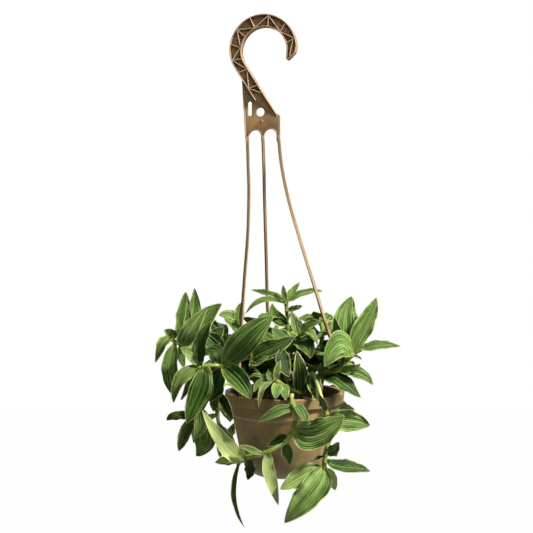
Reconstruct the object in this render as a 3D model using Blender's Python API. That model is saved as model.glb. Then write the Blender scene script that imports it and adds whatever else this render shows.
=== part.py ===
"""A striped trailing spiderwort in a brown plastic hanging pot with its one-piece moulded hanger.

The origin is the seat of the hook, the highest point inside its curve, and +Z is up. The viewer
stands on the -Y side. Sizes are in millimetres, and MM turns them into Blender's metres.
"""

from math import cos, pi, radians, sin

import bmesh
import bpy
from mathutils import Matrix, Vector

MM = 0.001

# Pot: a nominal 150 mm hanging pot whose rim is a channel with a hanging skirt
POT_CENTRE = (26.0, 0.0)
RIM_Z = -468.0
RIM_RADIUS = 77.5
LEDGE_INNER_RADIUS = 70.2
POT_SEGMENTS = 32
DRAIN_CENTRE_RADIUS = 4.0
DRAIN_RADIUS = 3.5
DRAIN_CIRCLE_RADIUS = 26.0
DRAIN_HOLES = 6

# Soil, and the clearance that one piece keeps to the next
SOIL_TOP = -12.0
SOIL_CROWN = 3.0
SOIL_SEGMENTS = 18
CLEARANCE = 0.4
ROOT_DEPTH = 18.0

# Hook: an I-section between two arcs and two parallel lines, with a zigzag of ribs
HOOK_TURN = radians(-14.0)
HOOK_DEPTH = 11.5
HOOK_INNER_CENTRE = (0.0, -30.0)
HOOK_INNER_RADIUS = 30.0
HOOK_OUTER_CENTRE = (-1.3, -27.8)
HOOK_OUTER_RADIUS = 44.0
SHANK_ANGLE = radians(212.5)
INNER_SHANK_LENGTH = 80.0
OUTER_SHANK_LENGTH = 50.0
# The foot of the inner flange runs out over this length, down to this half depth at the plate
FOOT_LENGTH = 32.0
FOOT_HALF = 1.8
FLANGE = 1.3
RIB = 1.2
WEB = 2.2
# Where the ribs cross the band: turned angles on the arcs, then on down the shank at 45 mm a radian
RIB_STATIONS = (15.5, 46.5, 80.0, 113.0, 143.5, 171.0, 198.0, 222.5, 254.5, 270.0)
# Past the first rib the band narrows to the point of the hook, with two pockets of its own
HOOK_POINT = ((29.5, -41.8), (30.4, -43.2), (31.8, -42.8), (36.9, -38.5), (41.1, -33.8))
POINT_POCKETS = (
    ((37.0, -16.8), (24.8, -9.0), (31.4, -22.0), (32.4, -34.0)),
    ((39.6, -19.0), (34.8, -36.6), (40.4, -31.0), (41.8, -26.0)),
)

# Plate under the hook, with its two windows and three legs
PLATE_TOP_LEFT = (-29.6, -67.8)
PLATE_BOTTOM = -146.0
PLATE_LEFT = -24.9
PLATE_RIGHT = 20.7
PLATE_SHOULDER = -113.0
PLATE_THICKNESS = 2.4
LIP_DEPTH = 4.6
LIP_WIDTH = 1.4
WINDOW_RADIUS = 8.2
WINDOW_CENTRES = ((-12.5, -139.4), (7.8, -138.4))
SLOT_CENTRE = (-19.3, -103.5)
SLOT_SIZE = (5.2, 18.5)
HANG_HOLE_CENTRE = (-5.4, -108.1)
HANG_HOLE_RADIUS = 5.5
DOT_CENTRE = (-3.0, -120.0)
DOT_RADIUS = 1.4

# Arms: T-section straps whose ends click through the ledge of the rim
ARM_WIDTH = 4.2
ARM_DEPTH = 4.0
ARM_FLANGE = 1.7
ARM_STEM_HALF = 0.8
ARM_END_SHARE = (0.8, 0.45)
ARM_STEP = 56.0
ARM_ROUTES = {
    "left": ((-22.1, 5.5, -138), (-21, 3, -176), (-20, -2, -210), (-21, -12, -262), (-25, -24, -318),
             (-29, -35, -376), (-32, -45, -430), (-32, -51, -452)),
    "back": ((-2.3, 0.6, -138), (-1, 4, -176), (0, 13, -222), (2, 30, -292), (4, 50, -366), (8, 68, -428),
             (10, 76, -452)),
    "right": ((17.8, -4.5, -138), (22, -6, -178), (31, -8, -222), (43, -11, -264), (54, -13, -301),
              (67, -16, -342), (80, -19, -385), (98, -23, -434), (100, -24, -452)),
}
CLIP_RADIUS = 73.25
CLIP_ANGLES = {"right": -18.0, "left": 222.0, "back": 102.0}
CLIP_SLOT = (4.4, 2.9)
TONGUE = (3.2, 1.8)
BARB_WIDTH = 6.6
BARB_TOP = -2.6
BARB_BOTTOM = -7.5
# A cutter reaches this far to each side of the plate
CUT_REACH = 10.0

# Blades are at least this thick, and their halves rise from the midrib like a shallow V
BLADE_THICKNESS = 0.8
BLADE_FOLD = 0.28
LONG_BLADE = 96.0
SHORT_BLADE = 58.0
NARROW_BLADE = 17.5
BLADE_ROOT = 1.2
BLADE_POINT = 0.4
STEM_SIDES = 5
STEM_STEP = 25.0
# Leaves at one place on a stem start this little apart, counted in route points
BASE_STAGGER = 0.012

# The way the upper face of a leaf looks, at the middle of the leaf
FRONT = (0, -1, 0.15)
FRONT_UP = (0, -0.8, 0.6)
FRONT_LEFT = (-0.55, -0.8, 0.2)
FRONT_RIGHT = (0.55, -0.8, 0.2)
LEFT_UP = (-0.6, -0.45, 0.65)
RIGHT_UP = (0.6, -0.45, 0.65)
UP = (0, -0.3, 1)
BACK = (0, 1, 0.15)
BACK_UP = (0, 0.7, 0.7)
RIGHT = (1, 0.1, 0.25)
LEFT_BACK = (-0.6, 0.6, 0.5)
RIGHT_BACK = (0.6, 0.6, 0.5)

# Side branches that fill the middle of the plant: where each leaves its stem, and its route
FILL_MIDDLE = (1.3, (16, 4, -446), (4, 6, -432), (-2, 4, -412))
FILL_RIGHT = (1.3, (42, 4, -446), (54, 0, -430), (58, 0, -408))
FILL_RIGHT_LOW = (1.2, (46, 14, -458), (62, 2, -446), (70, -4, -430))
FILL_FRONT = (1.15, (26, -14, -460), (14, -44, -458), (8, -52, -452))
FILL_LEFT = (1.4, (-30, 22, -438), (-46, 18, -414), (-58, 14, -392))
FILL_LEFT_LOW = (1.5, (-36, 2, -444), (-46, 3, -437), (-54, -1, -430))
FILL_BACK = (1.3, (24, 28, -450), (30, 28, -438), (33, 25, -424))
FILL_EDGE = (1.3, (76, 14, -448), (88, 10, -430), (94, 9, -412))


def spread_leaves(route, turns, length, width):
    """Leaves up a branch, one for each turn about the upright: each rises, arches over and dips."""
    leaves = []
    for k, turn in enumerate(turns):
        place = 0.8 + (len(route) - 1.8) * k / (len(turns) - 1)
        i = min(int(place), len(route) - 2)
        base = Vector(route[i]).lerp(Vector(route[i + 1]), place - i) if i else Vector(route[1])
        out = Vector((cos(radians(turn)), sin(radians(turn)), 0.0))
        reach = length * (1.0 - 0.25 * k / len(turns))
        middle = base + out * reach * 0.5 + Vector((0, 0, reach * 0.3))
        tip = base + out * reach * 0.95 + Vector((0, 0, reach * 0.18))
        leaves.append((place, tuple(middle), tuple(tip), width, (out.x * 0.4, out.y * 0.4, 1.0)))
    return leaves


# Each stem: its radius, the points of its route from the root to the tip, and its leaves.
# A leaf is its place on the stem counted in route points, its middle, its tip, its width and
# the way that it faces.
STEMS = {
    "stem_left_low": [(
        2.7,
        ((2, -10), (-8, -18, -455), (-28, -29, -440), (-50, -43, -431), (-66, -53, -428), (-82, -60, -429)),
        (
            (5.0, (-103, -64, -444), (-112, -68, -473), 21, FRONT_LEFT),
            (4.9, (-92, -56, -414), (-105, -55, -406), 16, FRONT_UP),
            (3.1, (-22, -64, -394), (11, -58, -366), 35, FRONT),
            (3.2, (-31, -68, -445), (-17, -80, -466), 26, FRONT),
            (4.6, (-82, -68, -464), (-96, -71, -498), 28, FRONT),
            (4.3, (-72, -48, -460), (-87, -42, -492), 26, FRONT_LEFT),
            (3.3, (-58, -40, -454), (-70, -36, -476), 27, FRONT_LEFT),
            (3.5, (-64, -42, -413), (-80, -38, -419), 22, FRONT_UP),
            (4.8, (-79, -56, -402), (-65, -50, -372), 24, FRONT_LEFT),
            (4.9, (-93, -50, -451), (-104, -46, -473), 10, FRONT),
        ),
    )],
    "stem_left_high": [(
        2.5,
        ((-16, -2), (-26, -6, -448), (-46, -12, -420), (-70, -18, -411), (-93, -26, -411),
         (-107, -30, -404), (-119, -34, -397)),
        (
            (5.9, (-127, -40, -402), (-137, -44, -426), 18, FRONT_LEFT),
            (5.8, (-119, -28, -392), (-127, -30, -386), 16, FRONT_UP),
            (4.2, (-80, -18, -379), (-55, -12, -354), 28, FRONT),
            (4.4, (-92, -12, -376), (-90, -8, -334), 22, FRONT),
            (4.6, (-102, -27, -369), (-100, -24, -338), 21, FRONT),
            (4.5, (-97, -38, -380), (-98, -38, -350), 12, FRONT),
            (4.9, (-94, -40, -386), (-72, -34, -357), 24, FRONT),
            (5.5, (-119, -40, -441), (-111, -42, -470), 21, FRONT),
            (5.0, (-105, -36, -420), (-101, -37, -434), 11, FRONT),
            (3.2, (-66, -12, -398), (-52, -8, -384), 24, FRONT),
            (2.5, (-66, -16, -402), (-82, -12, -388), 24, FRONT),
        ),
    ), (
        1.8, FILL_LEFT_LOW, spread_leaves(FILL_LEFT_LOW, (185, 285, 250), 44, 28),
    )],
    "stem_left_hanging": [(
        2.4,
        ((-16, 14), (-34, 14, -454), (-58, 6, -448), (-73, -4, -462), (-83, -12, -484), (-88, -18, -500)),
        (
            (4.9, (-112, -26, -496), (-124, -31, -501), 13, FRONT_UP),
            (5.0, (-102, -26, -520), (-109, -28, -541), 17, FRONT),
            (4.6, (-77, -12, -527), (-88, -14, -550), 31, FRONT),
            (4.3, (-80, -32, -504), (-89, -37, -523), 20, FRONT),
            (3.4, (-92, 10, -462), (-110, 12, -482), 22, LEFT_UP),
            (2.6, (-72, 24, -440), (-94, 34, -452), 24, LEFT_UP),
        ),
    )],
    "stem_left_rim": [(
        1.8,
        ((-28, -16), (-42, -24, -457), (-54, -31, -459), (-58, -35, -486), (-56, -41, -504),
         (-44, -47, -514)),
        (
            (2.2, (-62, -26, -476), (-65, -23, -491), 18, FRONT),
            (2.4, (-47, -52, -480), (-39, -58, -495), 15, FRONT_LEFT),
            (5.0, (-41, -57, -509), (-38, -60, -499), 11, FRONT),
            (4.6, (-54, -47, -529), (-56, -46, -545), 13, FRONT),
        ),
    )],
    "stem_left_upright": [(
        2.0,
        ((-8, 22), (-18, 25, -430), (-28, 23, -396), (-36, 20, -381)),
        (
            (3.0, (-46, 18, -372), (-60, 14, -371), 18, FRONT_UP),
            (2.9, (-33, 22, -368), (-31, 25, -355), 14, FRONT),
            (1.5, (-46, 30, -410), (-68, 32, -398), 29, LEFT_UP),
            (2.0, (-10, 30, -392), (9, 32, -380), 25, FRONT_UP),
            (2.4, (-40, 4, -384), (-52, -2, -374), 20, FRONT_UP),
            (1.15, (-28, 28, -441), (-50, 30, -434), 28, FRONT),
        ),
    ), (
        2.0, FILL_LEFT, spread_leaves(FILL_LEFT, (150, 205, 100, 185, 125, 160), 58, 32),
    )],
    "stem_middle": [(
        2.5,
        ((30, 6), (31, 8, -430), (30, 10, -391), (29, 12, -368), (28, 12, -352)),
        (
            (4.0, (7, 14, -343), (-18, 18, -338), 10, FRONT_UP),
            (3.7, (1, -3, -349), (-25, -10, -368), 10, FRONT_UP),
            (4.0, (36, 16, -341), (46, 20, -328), 11, FRONT),
            (4.0, (25, 9, -341), (24, 8, -331), 7, FRONT),
            (3.9, (52, 8, -341), (76, 6, -339), 11, FRONT_UP),
            (3.3, (41, 3, -361), (49, 0, -357), 10, FRONT_UP),
            (2.4, (15, -5, -371), (10, -8, -354), 18, FRONT),
            (2.8, (3, -14, -369), (-8, -18, -371), 10, FRONT_UP),
            (1.4, (8, 0, -400), (-11, -5, -390), 28, FRONT_UP),
            (1.7, (50, 14, -398), (67, 10, -390), 26, FRONT_UP),
        ),
    ), (
        2.5,
        (1.1, (38, -10, -452), (41, -18, -436), (41, -20, -413), (43, -22, -394)),
        (
            (4.0, (39, -22, -378), (34, -20, -363), 12, FRONT),
            (3.9, (57, -28, -380), (71, -34, -376), 14, FRONT_UP),
            (3.8, (56, -38, -388), (67, -44, -404), 14, UP),
            (3.95, (45, -18, -383), (45, -17, -374), 8, FRONT),
            (3.6, (51, -38, -404), (58, -46, -420), 25, FRONT_UP),
            (3.0, (22, -26, -398), (10, -28, -384), 25, FRONT_UP),
        ),
    ), (
        2.3,
        (1.1, (14, -20, -456), (-2, -34, -446), (-12, -37, -434), (-17, -38, -424)),
        (
            (4.0, (7, -42, -409), (39, -38, -393), 24, FRONT),
            (3.7, (-6, -46, -423), (5, -48, -417), 14, FRONT_UP),
            (1.8, (10, -50, -444), (18, -60, -452), 18, FRONT_UP),
        ),
    ), (
        2.3,
        (1.2, (28, -20, -454), (24, -34, -436), (22, -38, -420), (21, -41, -409)),
        (
            (3.95, (24, -52, -426), (31, -60, -442), 19, FRONT),
            (2.2, (4, -30, -440), (-6, -34, -452), 26, FRONT_UP),
        ),
    ), (
        2.0, FILL_MIDDLE, spread_leaves(FILL_MIDDLE, (225, 187, 285, 173, 215), 51, 32),
    ), (
        2.0, FILL_RIGHT, spread_leaves(FILL_RIGHT, (300, 345, 275, 10), 55, 32),
    ), (
        1.8, FILL_RIGHT_LOW, spread_leaves(FILL_RIGHT_LOW, (250, 300, 275), 45, 30),
    ), (
        1.8, FILL_FRONT, spread_leaves(FILL_FRONT, (205, 150, 180), 38, 22),
    ), (
        1.8, FILL_BACK, spread_leaves(FILL_BACK, (298, 262, 318), 37, 30),
    )],
    "stem_right_back": [(
        2.7,
        ((62, 18), (68, 24, -430), (76, 25, -400), (75, 26, -382)),
        (
            (3.0, (61, 25, -377), (44, 23, -376), 16, FRONT_UP),
            (2.9, (68, 18, -372), (76, 10, -371), 15, FRONT_UP),
            (2.4, (98, 28, -388), (121, 30, -384), 27, RIGHT_UP),
            (2.7, (84, 44, -380), (92, 58, -376), 24, RIGHT_UP),
            (1.6, (96, 38, -418), (122, 46, -424), 28, RIGHT_UP),
            (2.0, (64, 44, -392), (58, 58, -380), 24, BACK_UP),
            (1.35, (58, 32, -424), (48, 34, -402), 28, FRONT),
            (1.4, (84, 34, -424), (94, 38, -400), 28, FRONT),
            (1.15, (86, 30, -440), (106, 32, -440), 28, FRONT),
        ),
    ), (
        2.0, FILL_EDGE, spread_leaves(FILL_EDGE, (20, 75, 345, 110, 40, 5), 50, 27),
    )],
    "stem_front_arch": [(
        2.3,
        ((46, -40), (44, -52, -464), (36, -57, -459), (28, -61, -454), (13, -66, -445)),
        (
            (4.0, (-2, -72, -455), (-7, -81, -477), 9, UP),
            (3.7, (15, -76, -455), (14, -81, -466), 14, FRONT),
            (3.2, (25, -72, -458), (27, -81, -468), 13, FRONT),
            (4.0, (16, -66, -432), (20, -62, -421), 9, FRONT),
            (3.9, (7, -66, -441), (5, -64, -432), 8, FRONT),
            (3.8, (-3, -66, -448), (-13, -72, -459), 11, FRONT_UP),
            (1.0, (45, -57, -440), (40, -50, -410), 20, FRONT),
        ),
    )],
    "stem_front_trailing": [(
        2.8,
        ((34, -46), (34, -56, -472), (34, -70, -463), (33, -84, -465), (36, -91, -480), (37, -92, -492),
         (33, -92, -505), (25, -92, -517), (13, -92, -524), (-3, -90, -532), (-20, -86, -536),
         (-30, -82, -541)),
        (
            (3.8, (14, -94, -480), (-8, -93, -492), 14, FRONT_LEFT),
            (3.5, (46, -96, -481), (52, -99, -497), 15, FRONT_RIGHT),
            (5.6, (64, -107, -503), (96, -106, -482), 38, FRONT),
            (6.6, (18, -86, -516), (3, -85, -523), 15, FRONT_UP),
            (7.0, (28, -89, -531), (31, -86, -545), 15, FRONT),
            (8.6, (7, -94, -558), (17, -95, -593), 16, FRONT),
            (10.2, (-44, -90, -524), (-76, -84, -479), 22, FRONT),
            (11.0, (-37, -86, -585), (-24, -86, -623), 8, FRONT_LEFT),
            (10.9, (-46, -79, -542), (-61, -76, -545), 14, FRONT_UP),
            (10.0, (-17, -80, -552), (-21, -78, -566), 18, FRONT_LEFT),
            (9.0, (-17, -97, -525), (-30, -98, -519), 9, FRONT_UP),
        ),
    )],
    "stem_right_trailing": [(
        2.8,
        ((58, -34), (58, -44, -446), (60, -60, -438), (65, -76, -450), (70, -86, -466), (75, -90, -481),
         (77, -92, -516), (74, -92, -531), (72, -92, -549)),
        (
            (2.2, (61, -70, -449), (66, -80, -469), 20, FRONT),
            (4.8, (71, -96, -469), (66, -99, -457), 12, FRONT_LEFT),
            (5.2, (103, -92, -491), (128, -90, -497), 28, FRONT),
            (6.8, (82, -97, -525), (90, -99, -515), 18, FRONT_RIGHT),
            (7.2, (64, -91, -537), (56, -89, -540), 9, UP),
            (7.6, (102, -92, -547), (129, -90, -553), 18, FRONT_UP),
            (8.0, (43, -98, -558), (19, -103, -572), 25, FRONT),
            (8.0, (54, -108, -576), (24, -106, -612), 35, FRONT),
            (8.0, (82, -88, -563), (86, -86, -577), 14, FRONT),
        ),
    )],
    "stem_right": [(
        2.7,
        ((70, -22), (73, -36, -450), (79, -50, -438), (91, -56, -434), (98, -58, -427), (106, -60, -417),
         (119, -62, -407)),
        (
            (6.0, (140, -66, -402), (168, -68, -403), 14, FRONT_UP),
            (5.2, (124, -56, -377), (140, -46, -344), 25, FRONT),
            (4.2, (101, -47, -380), (110, -36, -343), 36, FRONT),
            (4.0, (93, -57, -393), (87, -58, -368), 15, FRONT_LEFT),
            (5.1, (92, -76, -401), (73, -84, -426), 36, FRONT),
            (2.2, (73, -62, -430), (66, -68, -437), 14, FRONT_UP),
            (3.0, (115, -64, -436), (134, -66, -451), 17, FRONT_UP),
            (3.5, (108, -66, -431), (118, -68, -424), 11, FRONT_RIGHT),
            (1.6, (92, -62, -444), (119, -70, -466), 27, FRONT_UP),
        ),
    )],
    "stem_back_left": [(
        2.6,
        ((-6, 40), (-22, 56, -452), (-40, 74, -446), (-56, 84, -462), (-64, 88, -486), (-66, 88, -512),
         (-62, 86, -534)),
        (
            (1.6, (-46, 54, -430), (-68, 58, -428), 25, LEFT_UP),
            (2.0, (-22, 88, -432), (-24, 112, -438), 27, BACK_UP),
            (3.2, (-84, 76, -466), (-104, 74, -486), 27, LEFT_BACK),
            (4.2, (-54, 104, -504), (-48, 110, -528), 27, BACK),
            (5.2, (-88, 84, -528), (-98, 82, -552), 25, LEFT_BACK),
            (6.0, (-52, 94, -556), (-44, 92, -582), 23, BACK),
        ),
    )],
    "stem_back_middle": [(
        2.6,
        ((30, 46), (32, 62, -450), (34, 82, -452), (36, 92, -470), (35, 95, -494), (32, 95, -518)),
        (
            (1.3, (14, 58, -428), (-2, 52, -418), 22, FRONT_UP),
            (1.6, (54, 74, -426), (68, 80, -418), 25, BACK_UP),
            (2.4, (16, 104, -450), (0, 114, -464), 25, BACK_UP),
            (3.4, (60, 100, -480), (76, 100, -500), 28, BACK),
            (4.2, (12, 102, -510), (2, 104, -534), 27, BACK),
            (5.0, (44, 100, -544), (50, 98, -572), 25, BACK),
            (5.0, (24, 98, -546), (18, 97, -566), 18, BACK),
        ),
    )],
    "stem_back_right": [(
        2.6,
        ((60, 42), (76, 58, -450), (92, 68, -452), (99, 76, -472), (101, 79, -496)),
        (
            (1.4, (92, 74, -428), (112, 84, -426), 25, RIGHT_BACK),
            (2.2, (112, 60, -446), (130, 62, -458), 23, RIGHT_UP),
            (3.2, (96, 92, -486), (88, 98, -510), 27, BACK),
            (4.0, (112, 78, -510), (117, 80, -530), 25, RIGHT_BACK),
            (4.0, (96, 86, -520), (88, 88, -544), 20, BACK),
        ),
    )],
    "stem_back_upright": [(
        2.2,
        ((14, 30), (12, 36, -430), (8, 40, -400)),
        (
            (1.2, (28, 44, -402), (44, 46, -386), 27, FRONT_UP),
            (2.0, (-11, 50, -386), (-30, 60, -378), 18, LEFT_BACK),
            (1.6, (-8, 46, -402), (-30, 46, -398), 25, LEFT_UP),
            (2.0, (26, 70, -382), (34, 88, -380), 24, BACK_UP),
            (1.12, (-8, 40, -448), (-32, 44, -450), 28, FRONT),
            (1.3, (-2, 42, -424), (-18, 44, -406), 28, FRONT),
            (1.2, (24, 40, -436), (36, 42, -418), 26, FRONT),
        ),
    )],
}


def clear_scene():
    for obj in list(bpy.data.objects):
        bpy.data.objects.remove(obj, do_unlink=True)


def material(name, colour, roughness):
    surface = bpy.data.materials.new(name)
    surface.use_nodes = True
    shader = surface.node_tree.nodes["Principled BSDF"]
    shader.inputs["Base Color"].default_value = (*colour, 1.0)
    shader.inputs["Roughness"].default_value = roughness
    shader.inputs["Metallic"].default_value = 0.0
    return surface


def mesh_object(name, bm, surface):
    """An object of the mesh, whose sizes are in millimetres, with its faces pointing out."""
    bmesh.ops.recalc_face_normals(bm, faces=bm.faces)
    if bm.calc_volume(signed=True) < 0:
        bmesh.ops.reverse_faces(bm, faces=bm.faces)
    bmesh.ops.scale(bm, vec=(MM, MM, MM), verts=bm.verts)
    mesh = bpy.data.meshes.new(name)
    bm.to_mesh(mesh)
    bm.free()
    mesh.materials.append(surface)
    obj = bpy.data.objects.new(name, mesh)
    bpy.context.scene.collection.objects.link(obj)
    return obj


def combine(base, others, operation, solver="EXACT"):
    """Join the others to the base, or cut them from it, in one applied Boolean, and remove them."""
    group = bpy.data.collections.new("joined")
    bpy.context.scene.collection.children.link(group)
    for other in others:
        bpy.context.scene.collection.objects.unlink(other)
        group.objects.link(other)
    modifier = base.modifiers.new("Joined", "BOOLEAN")
    modifier.operation = operation
    modifier.operand_type = "COLLECTION"
    modifier.collection = group
    modifier.solver = solver
    bpy.context.view_layer.update()
    graph = bpy.context.evaluated_depsgraph_get()
    joined = bpy.data.meshes.new_from_object(base.evaluated_get(graph))
    base.modifiers.remove(modifier)
    bm = bmesh.new()
    bm.from_mesh(joined)
    bmesh.ops.triangulate(bm, faces=bm.faces)
    bm.to_mesh(joined)
    bm.free()
    base.data = joined
    for other in others:
        bpy.data.objects.remove(other, do_unlink=True)
    bpy.data.collections.remove(group)


def turned(name, profile, centre, segments, surface):
    """A turned solid from a closed profile of (radius, height)."""
    bm = bmesh.new()
    ring = [bm.verts.new((radius, 0.0, height)) for radius, height in profile]
    edges = [bm.edges.new(pair) for pair in zip(ring, ring[1:])]
    if profile[0][0] > 0:
        edges.append(bm.edges.new((ring[-1], ring[0])))
    bmesh.ops.spin(bm, geom=ring + edges, cent=(0, 0, 0), axis=(0, 0, 1), angle=2 * pi,
                   steps=segments, use_merge=True)
    bmesh.ops.remove_doubles(bm, verts=bm.verts, dist=0.001)
    bmesh.ops.translate(bm, vec=centre, verts=bm.verts)
    return mesh_object(name, bm, surface)


def upright_cylinder(name, centre, radius, bottom, top, sides, surface):
    bm = bmesh.new()
    middle = Matrix.Translation((*centre, (bottom + top) / 2))
    bmesh.ops.create_cone(bm, cap_ends=True, segments=sides, radius1=radius, radius2=radius,
                          depth=top - bottom, matrix=middle)
    return mesh_object(name, bm, surface)


def extruded(name, outline, near, far, turn, surface):
    """The outline, in the plane of the hook, made solid from the depth near to the depth far."""
    bm = bmesh.new()
    face = bm.faces.new([bm.verts.new((across, near, height)) for across, height in outline])
    grown = bmesh.ops.extrude_face_region(bm, geom=[face])
    moved = [item for item in grown["geom"] if isinstance(item, bmesh.types.BMVert)]
    bmesh.ops.translate(bm, vec=(0, far - near, 0), verts=moved)
    bmesh.ops.rotate(bm, cent=(0, 0, 0), matrix=Matrix.Rotation(turn, 3, "Z"), verts=bm.verts)
    return mesh_object(name, bm, surface)


def swept(name, sections, surface):
    """A closed skin over a row of sections with the same number of points."""
    bm = bmesh.new()
    rings = [[bm.verts.new(point) for point in section] for section in sections]
    count = len(rings[0])
    for ring, following in zip(rings, rings[1:]):
        for i in range(count):
            j = (i + 1) % count
            bm.faces.new((ring[i], ring[j], following[j], following[i]))
    bm.faces.new(rings[0])
    bm.faces.new(rings[-1])
    return mesh_object(name, bm, surface)


def smooth_route(points, spacing):
    """Points along a smooth curve through the given ones, each with its place counted in points."""
    points = [Vector(point) for point in points]
    before = points[0] * 2 - points[1]
    after = points[-1] * 2 - points[-2]
    padded = [before, *points, after]
    route = []
    for i in range(len(points) - 1):
        a, b, c, d = padded[i:i + 4]
        steps = max(1, round((c - b).length / spacing))
        for k in range(steps):
            t = k / steps
            route.append((i + t, curve_point(a, b, c, d, t)))
    route.append((len(points) - 1.0, points[-1]))
    return route


def curve_point(a, b, c, d, t):
    """A point between b and c on the Catmull-Rom curve through the four."""
    linear = (c - a) * 0.5
    square = a - b * 2.5 + c * 2 - d * 0.5
    cube = (b - c) * 1.5 + (d - a) * 0.5
    return b + linear * t + square * t * t + cube * t * t * t


def route_at(route, place):
    """The point of a smooth route at a place counted in route points."""
    for (start, a), (end, b) in zip(route, route[1:]):
        if place <= end:
            return a.lerp(b, (place - start) / (end - start))
    return route[-1][1]


def tube_sections(route, radius, sides):
    """Rings round a route, turned as little as can be from one to the next."""
    points = [point for _, point in route]
    across = Vector((0.0, 1.0, 0.0))
    sections = []
    for i, point in enumerate(points):
        along = (points[min(i + 1, len(points) - 1)] - points[max(i - 1, 0)]).normalized()
        across = (across - along * across.dot(along)).normalized()
        other = along.cross(across)
        taper = radius * (1.0 - 0.2 * i / (len(points) - 1))
        sections.append([
            point + (across * cos(angle) + other * sin(angle)) * taper
            for angle in (2 * pi * k / sides for k in range(sides))
        ])
    return sections


def blade_width(t):
    """The share of the full width at t along a lance-shaped blade with a broad base."""
    return sin(pi * t ** 0.78) ** 0.75


def blade_frames(base, middle, tip, face, places):
    """The points of a blade's arched midrib, each with its directions across and out of the face."""
    control = middle * 2 - (base + tip) / 2
    centre_along = (tip - base).normalized()
    centre_across = Vector(face).cross(centre_along).normalized()
    centre_out = centre_along.cross(centre_across)
    frames = []
    for t in places:
        point = base * (1 - t) ** 2 + control * 2 * t * (1 - t) + tip * t * t
        along = ((control - base) * (1 - t) + (tip - control) * t).normalized()
        turn = centre_along.rotation_difference(along)
        frames.append((point, turn @ centre_across, turn @ centre_out))
    return frames


def blade(name, base, middle, tip, width, face, surface):
    """A thin closed blade on a quadratic arch from base to tip, folded along its midrib if it is wide."""
    length = (middle - base).length + (tip - middle).length
    if length > LONG_BLADE:
        places = (0.0, 0.12, 0.38, 0.64, 0.86)
    elif length > SHORT_BLADE:
        places = (0.0, 0.15, 0.48, 0.8)
    else:
        places = (0.0, 0.22, 0.66)
    folded = width > NARROW_BLADE
    frames = blade_frames(base, middle, tip, face, (*places, 1.0))
    sections = []
    for t, (point, across, out) in zip((*places, 1.0), frames):
        half = BLADE_ROOT if t == 0.0 else max(BLADE_POINT, width / 2 * blade_width(t))
        rise = out * half * BLADE_FOLD
        if folded:
            upper = [point - across * half + rise, point, point + across * half + rise]
        else:
            upper = [point - across * half, point + across * half]
        sections.append(upper + [corner - out * BLADE_THICKNESS for corner in reversed(upper)])
    bm = bmesh.new()
    rings = [[bm.verts.new(corner) for corner in section] for section in sections[:-1]]
    count = len(rings[0])
    for ring, following in zip(rings, rings[1:]):
        for i in range(count):
            j = (i + 1) % count
            if i < count // 2:
                bm.faces.new((ring[i], ring[j], following[j]))
                bm.faces.new((ring[i], following[j], following[i]))
            else:
                bm.faces.new((ring[i], ring[j], following[i]))
                bm.faces.new((ring[j], following[j], following[i]))
    top = bm.verts.new(frames[-1][0])
    bottom = bm.verts.new(frames[-1][0] - frames[-1][2] * BLADE_THICKNESS)
    last = rings[-1]
    lower = count // 2
    for i in range(lower - 1):
        bm.faces.new((last[i], last[i + 1], top))
        bm.faces.new((last[lower + i], last[lower + i + 1], bottom))
    bm.faces.new((last[lower - 1], last[lower], bottom, top))
    bm.faces.new((last[-1], last[0], top, bottom))
    bm.faces.new(list(reversed(rings[0])))
    bmesh.ops.triangulate(bm, faces=bm.faces)
    return mesh_object(name, bm, surface)


def planned(branches):
    """Each branch's radius and smooth route, and its leaves with the point that each grows from."""
    soil = RIM_Z + SOIL_TOP
    plan = []
    for radius, route, leaves in branches:
        if plan:
            points = [route_at(plan[0][1], route[0]), *route[1:]]
            shift = 0
        else:
            root = route[0]
            points = [(*root, soil - ROOT_DEPTH + 2), (*root, soil + SOIL_CROWN + 1), *route[1:]]
            shift = 1
        smooth = smooth_route(points, STEM_STEP)
        grown = []
        for number, (place, middle, tip, width, face) in enumerate(leaves):
            base = route_at(smooth, place + shift - BASE_STAGGER * number)
            grown.append((base, Vector(middle), Vector(tip), width, face))
        plan.append((radius, smooth, grown))
    return plan


def leafy_stem(name, branches, surface):
    """One stem with its side branches and leaves, joined into one solid."""
    parts = []
    for radius, smooth, leaves in planned(branches):
        parts.append(swept(name, tube_sections(smooth, radius, STEM_SIDES), surface))
        parts += [blade(f"{name}_leaf", *leaf, surface) for leaf in leaves]
    stem = parts[0]
    combine(stem, parts[1:], "UNION", "MANIFOLD")
    return stem


def make_pot(surface):
    profile = (
        (RIM_RADIUS, 0.0), (RIM_RADIUS - 1.6, -13.0), (RIM_RADIUS - 3.2, -13.0), (RIM_RADIUS - 1.8, -2.0),
        (71.8, -2.0), (69.8, -27.6), (67.8, -30.0), (57.6, -79.0),
        (55.0, -88.0), (50.0, -97.0), (43.0, -104.0), (37.0, -107.0), (DRAIN_CENTRE_RADIUS, -107.0),
        (DRAIN_CENTRE_RADIUS, -105.0), (36.4, -105.0), (44.0, -101.0), (50.6, -92.0), (55.8, -78.6),
        (66.0, -31.8), (68.2, -27.2), (LEDGE_INNER_RADIUS, 0.0),
    )
    pot = turned("pot", profile, (*POT_CENTRE, RIM_Z), POT_SEGMENTS, surface)
    cutters = []
    for number in range(DRAIN_HOLES):
        angle = 2 * pi * number / DRAIN_HOLES
        centre = (POT_CENTRE[0] + DRAIN_CIRCLE_RADIUS * cos(angle), DRAIN_CIRCLE_RADIUS * sin(angle))
        cutters.append(upright_cylinder(f"drain_{number}", centre, DRAIN_RADIUS, RIM_Z - 110, RIM_Z - 100,
                                        8, surface))
    for place, angle in CLIP_ANGLES.items():
        cutters.append(clip_block(f"clip_slot_{place}", angle, CLIP_SLOT, RIM_Z - 3, RIM_Z + 1, surface))
    combine(pot, cutters, "DIFFERENCE")
    return pot


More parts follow.
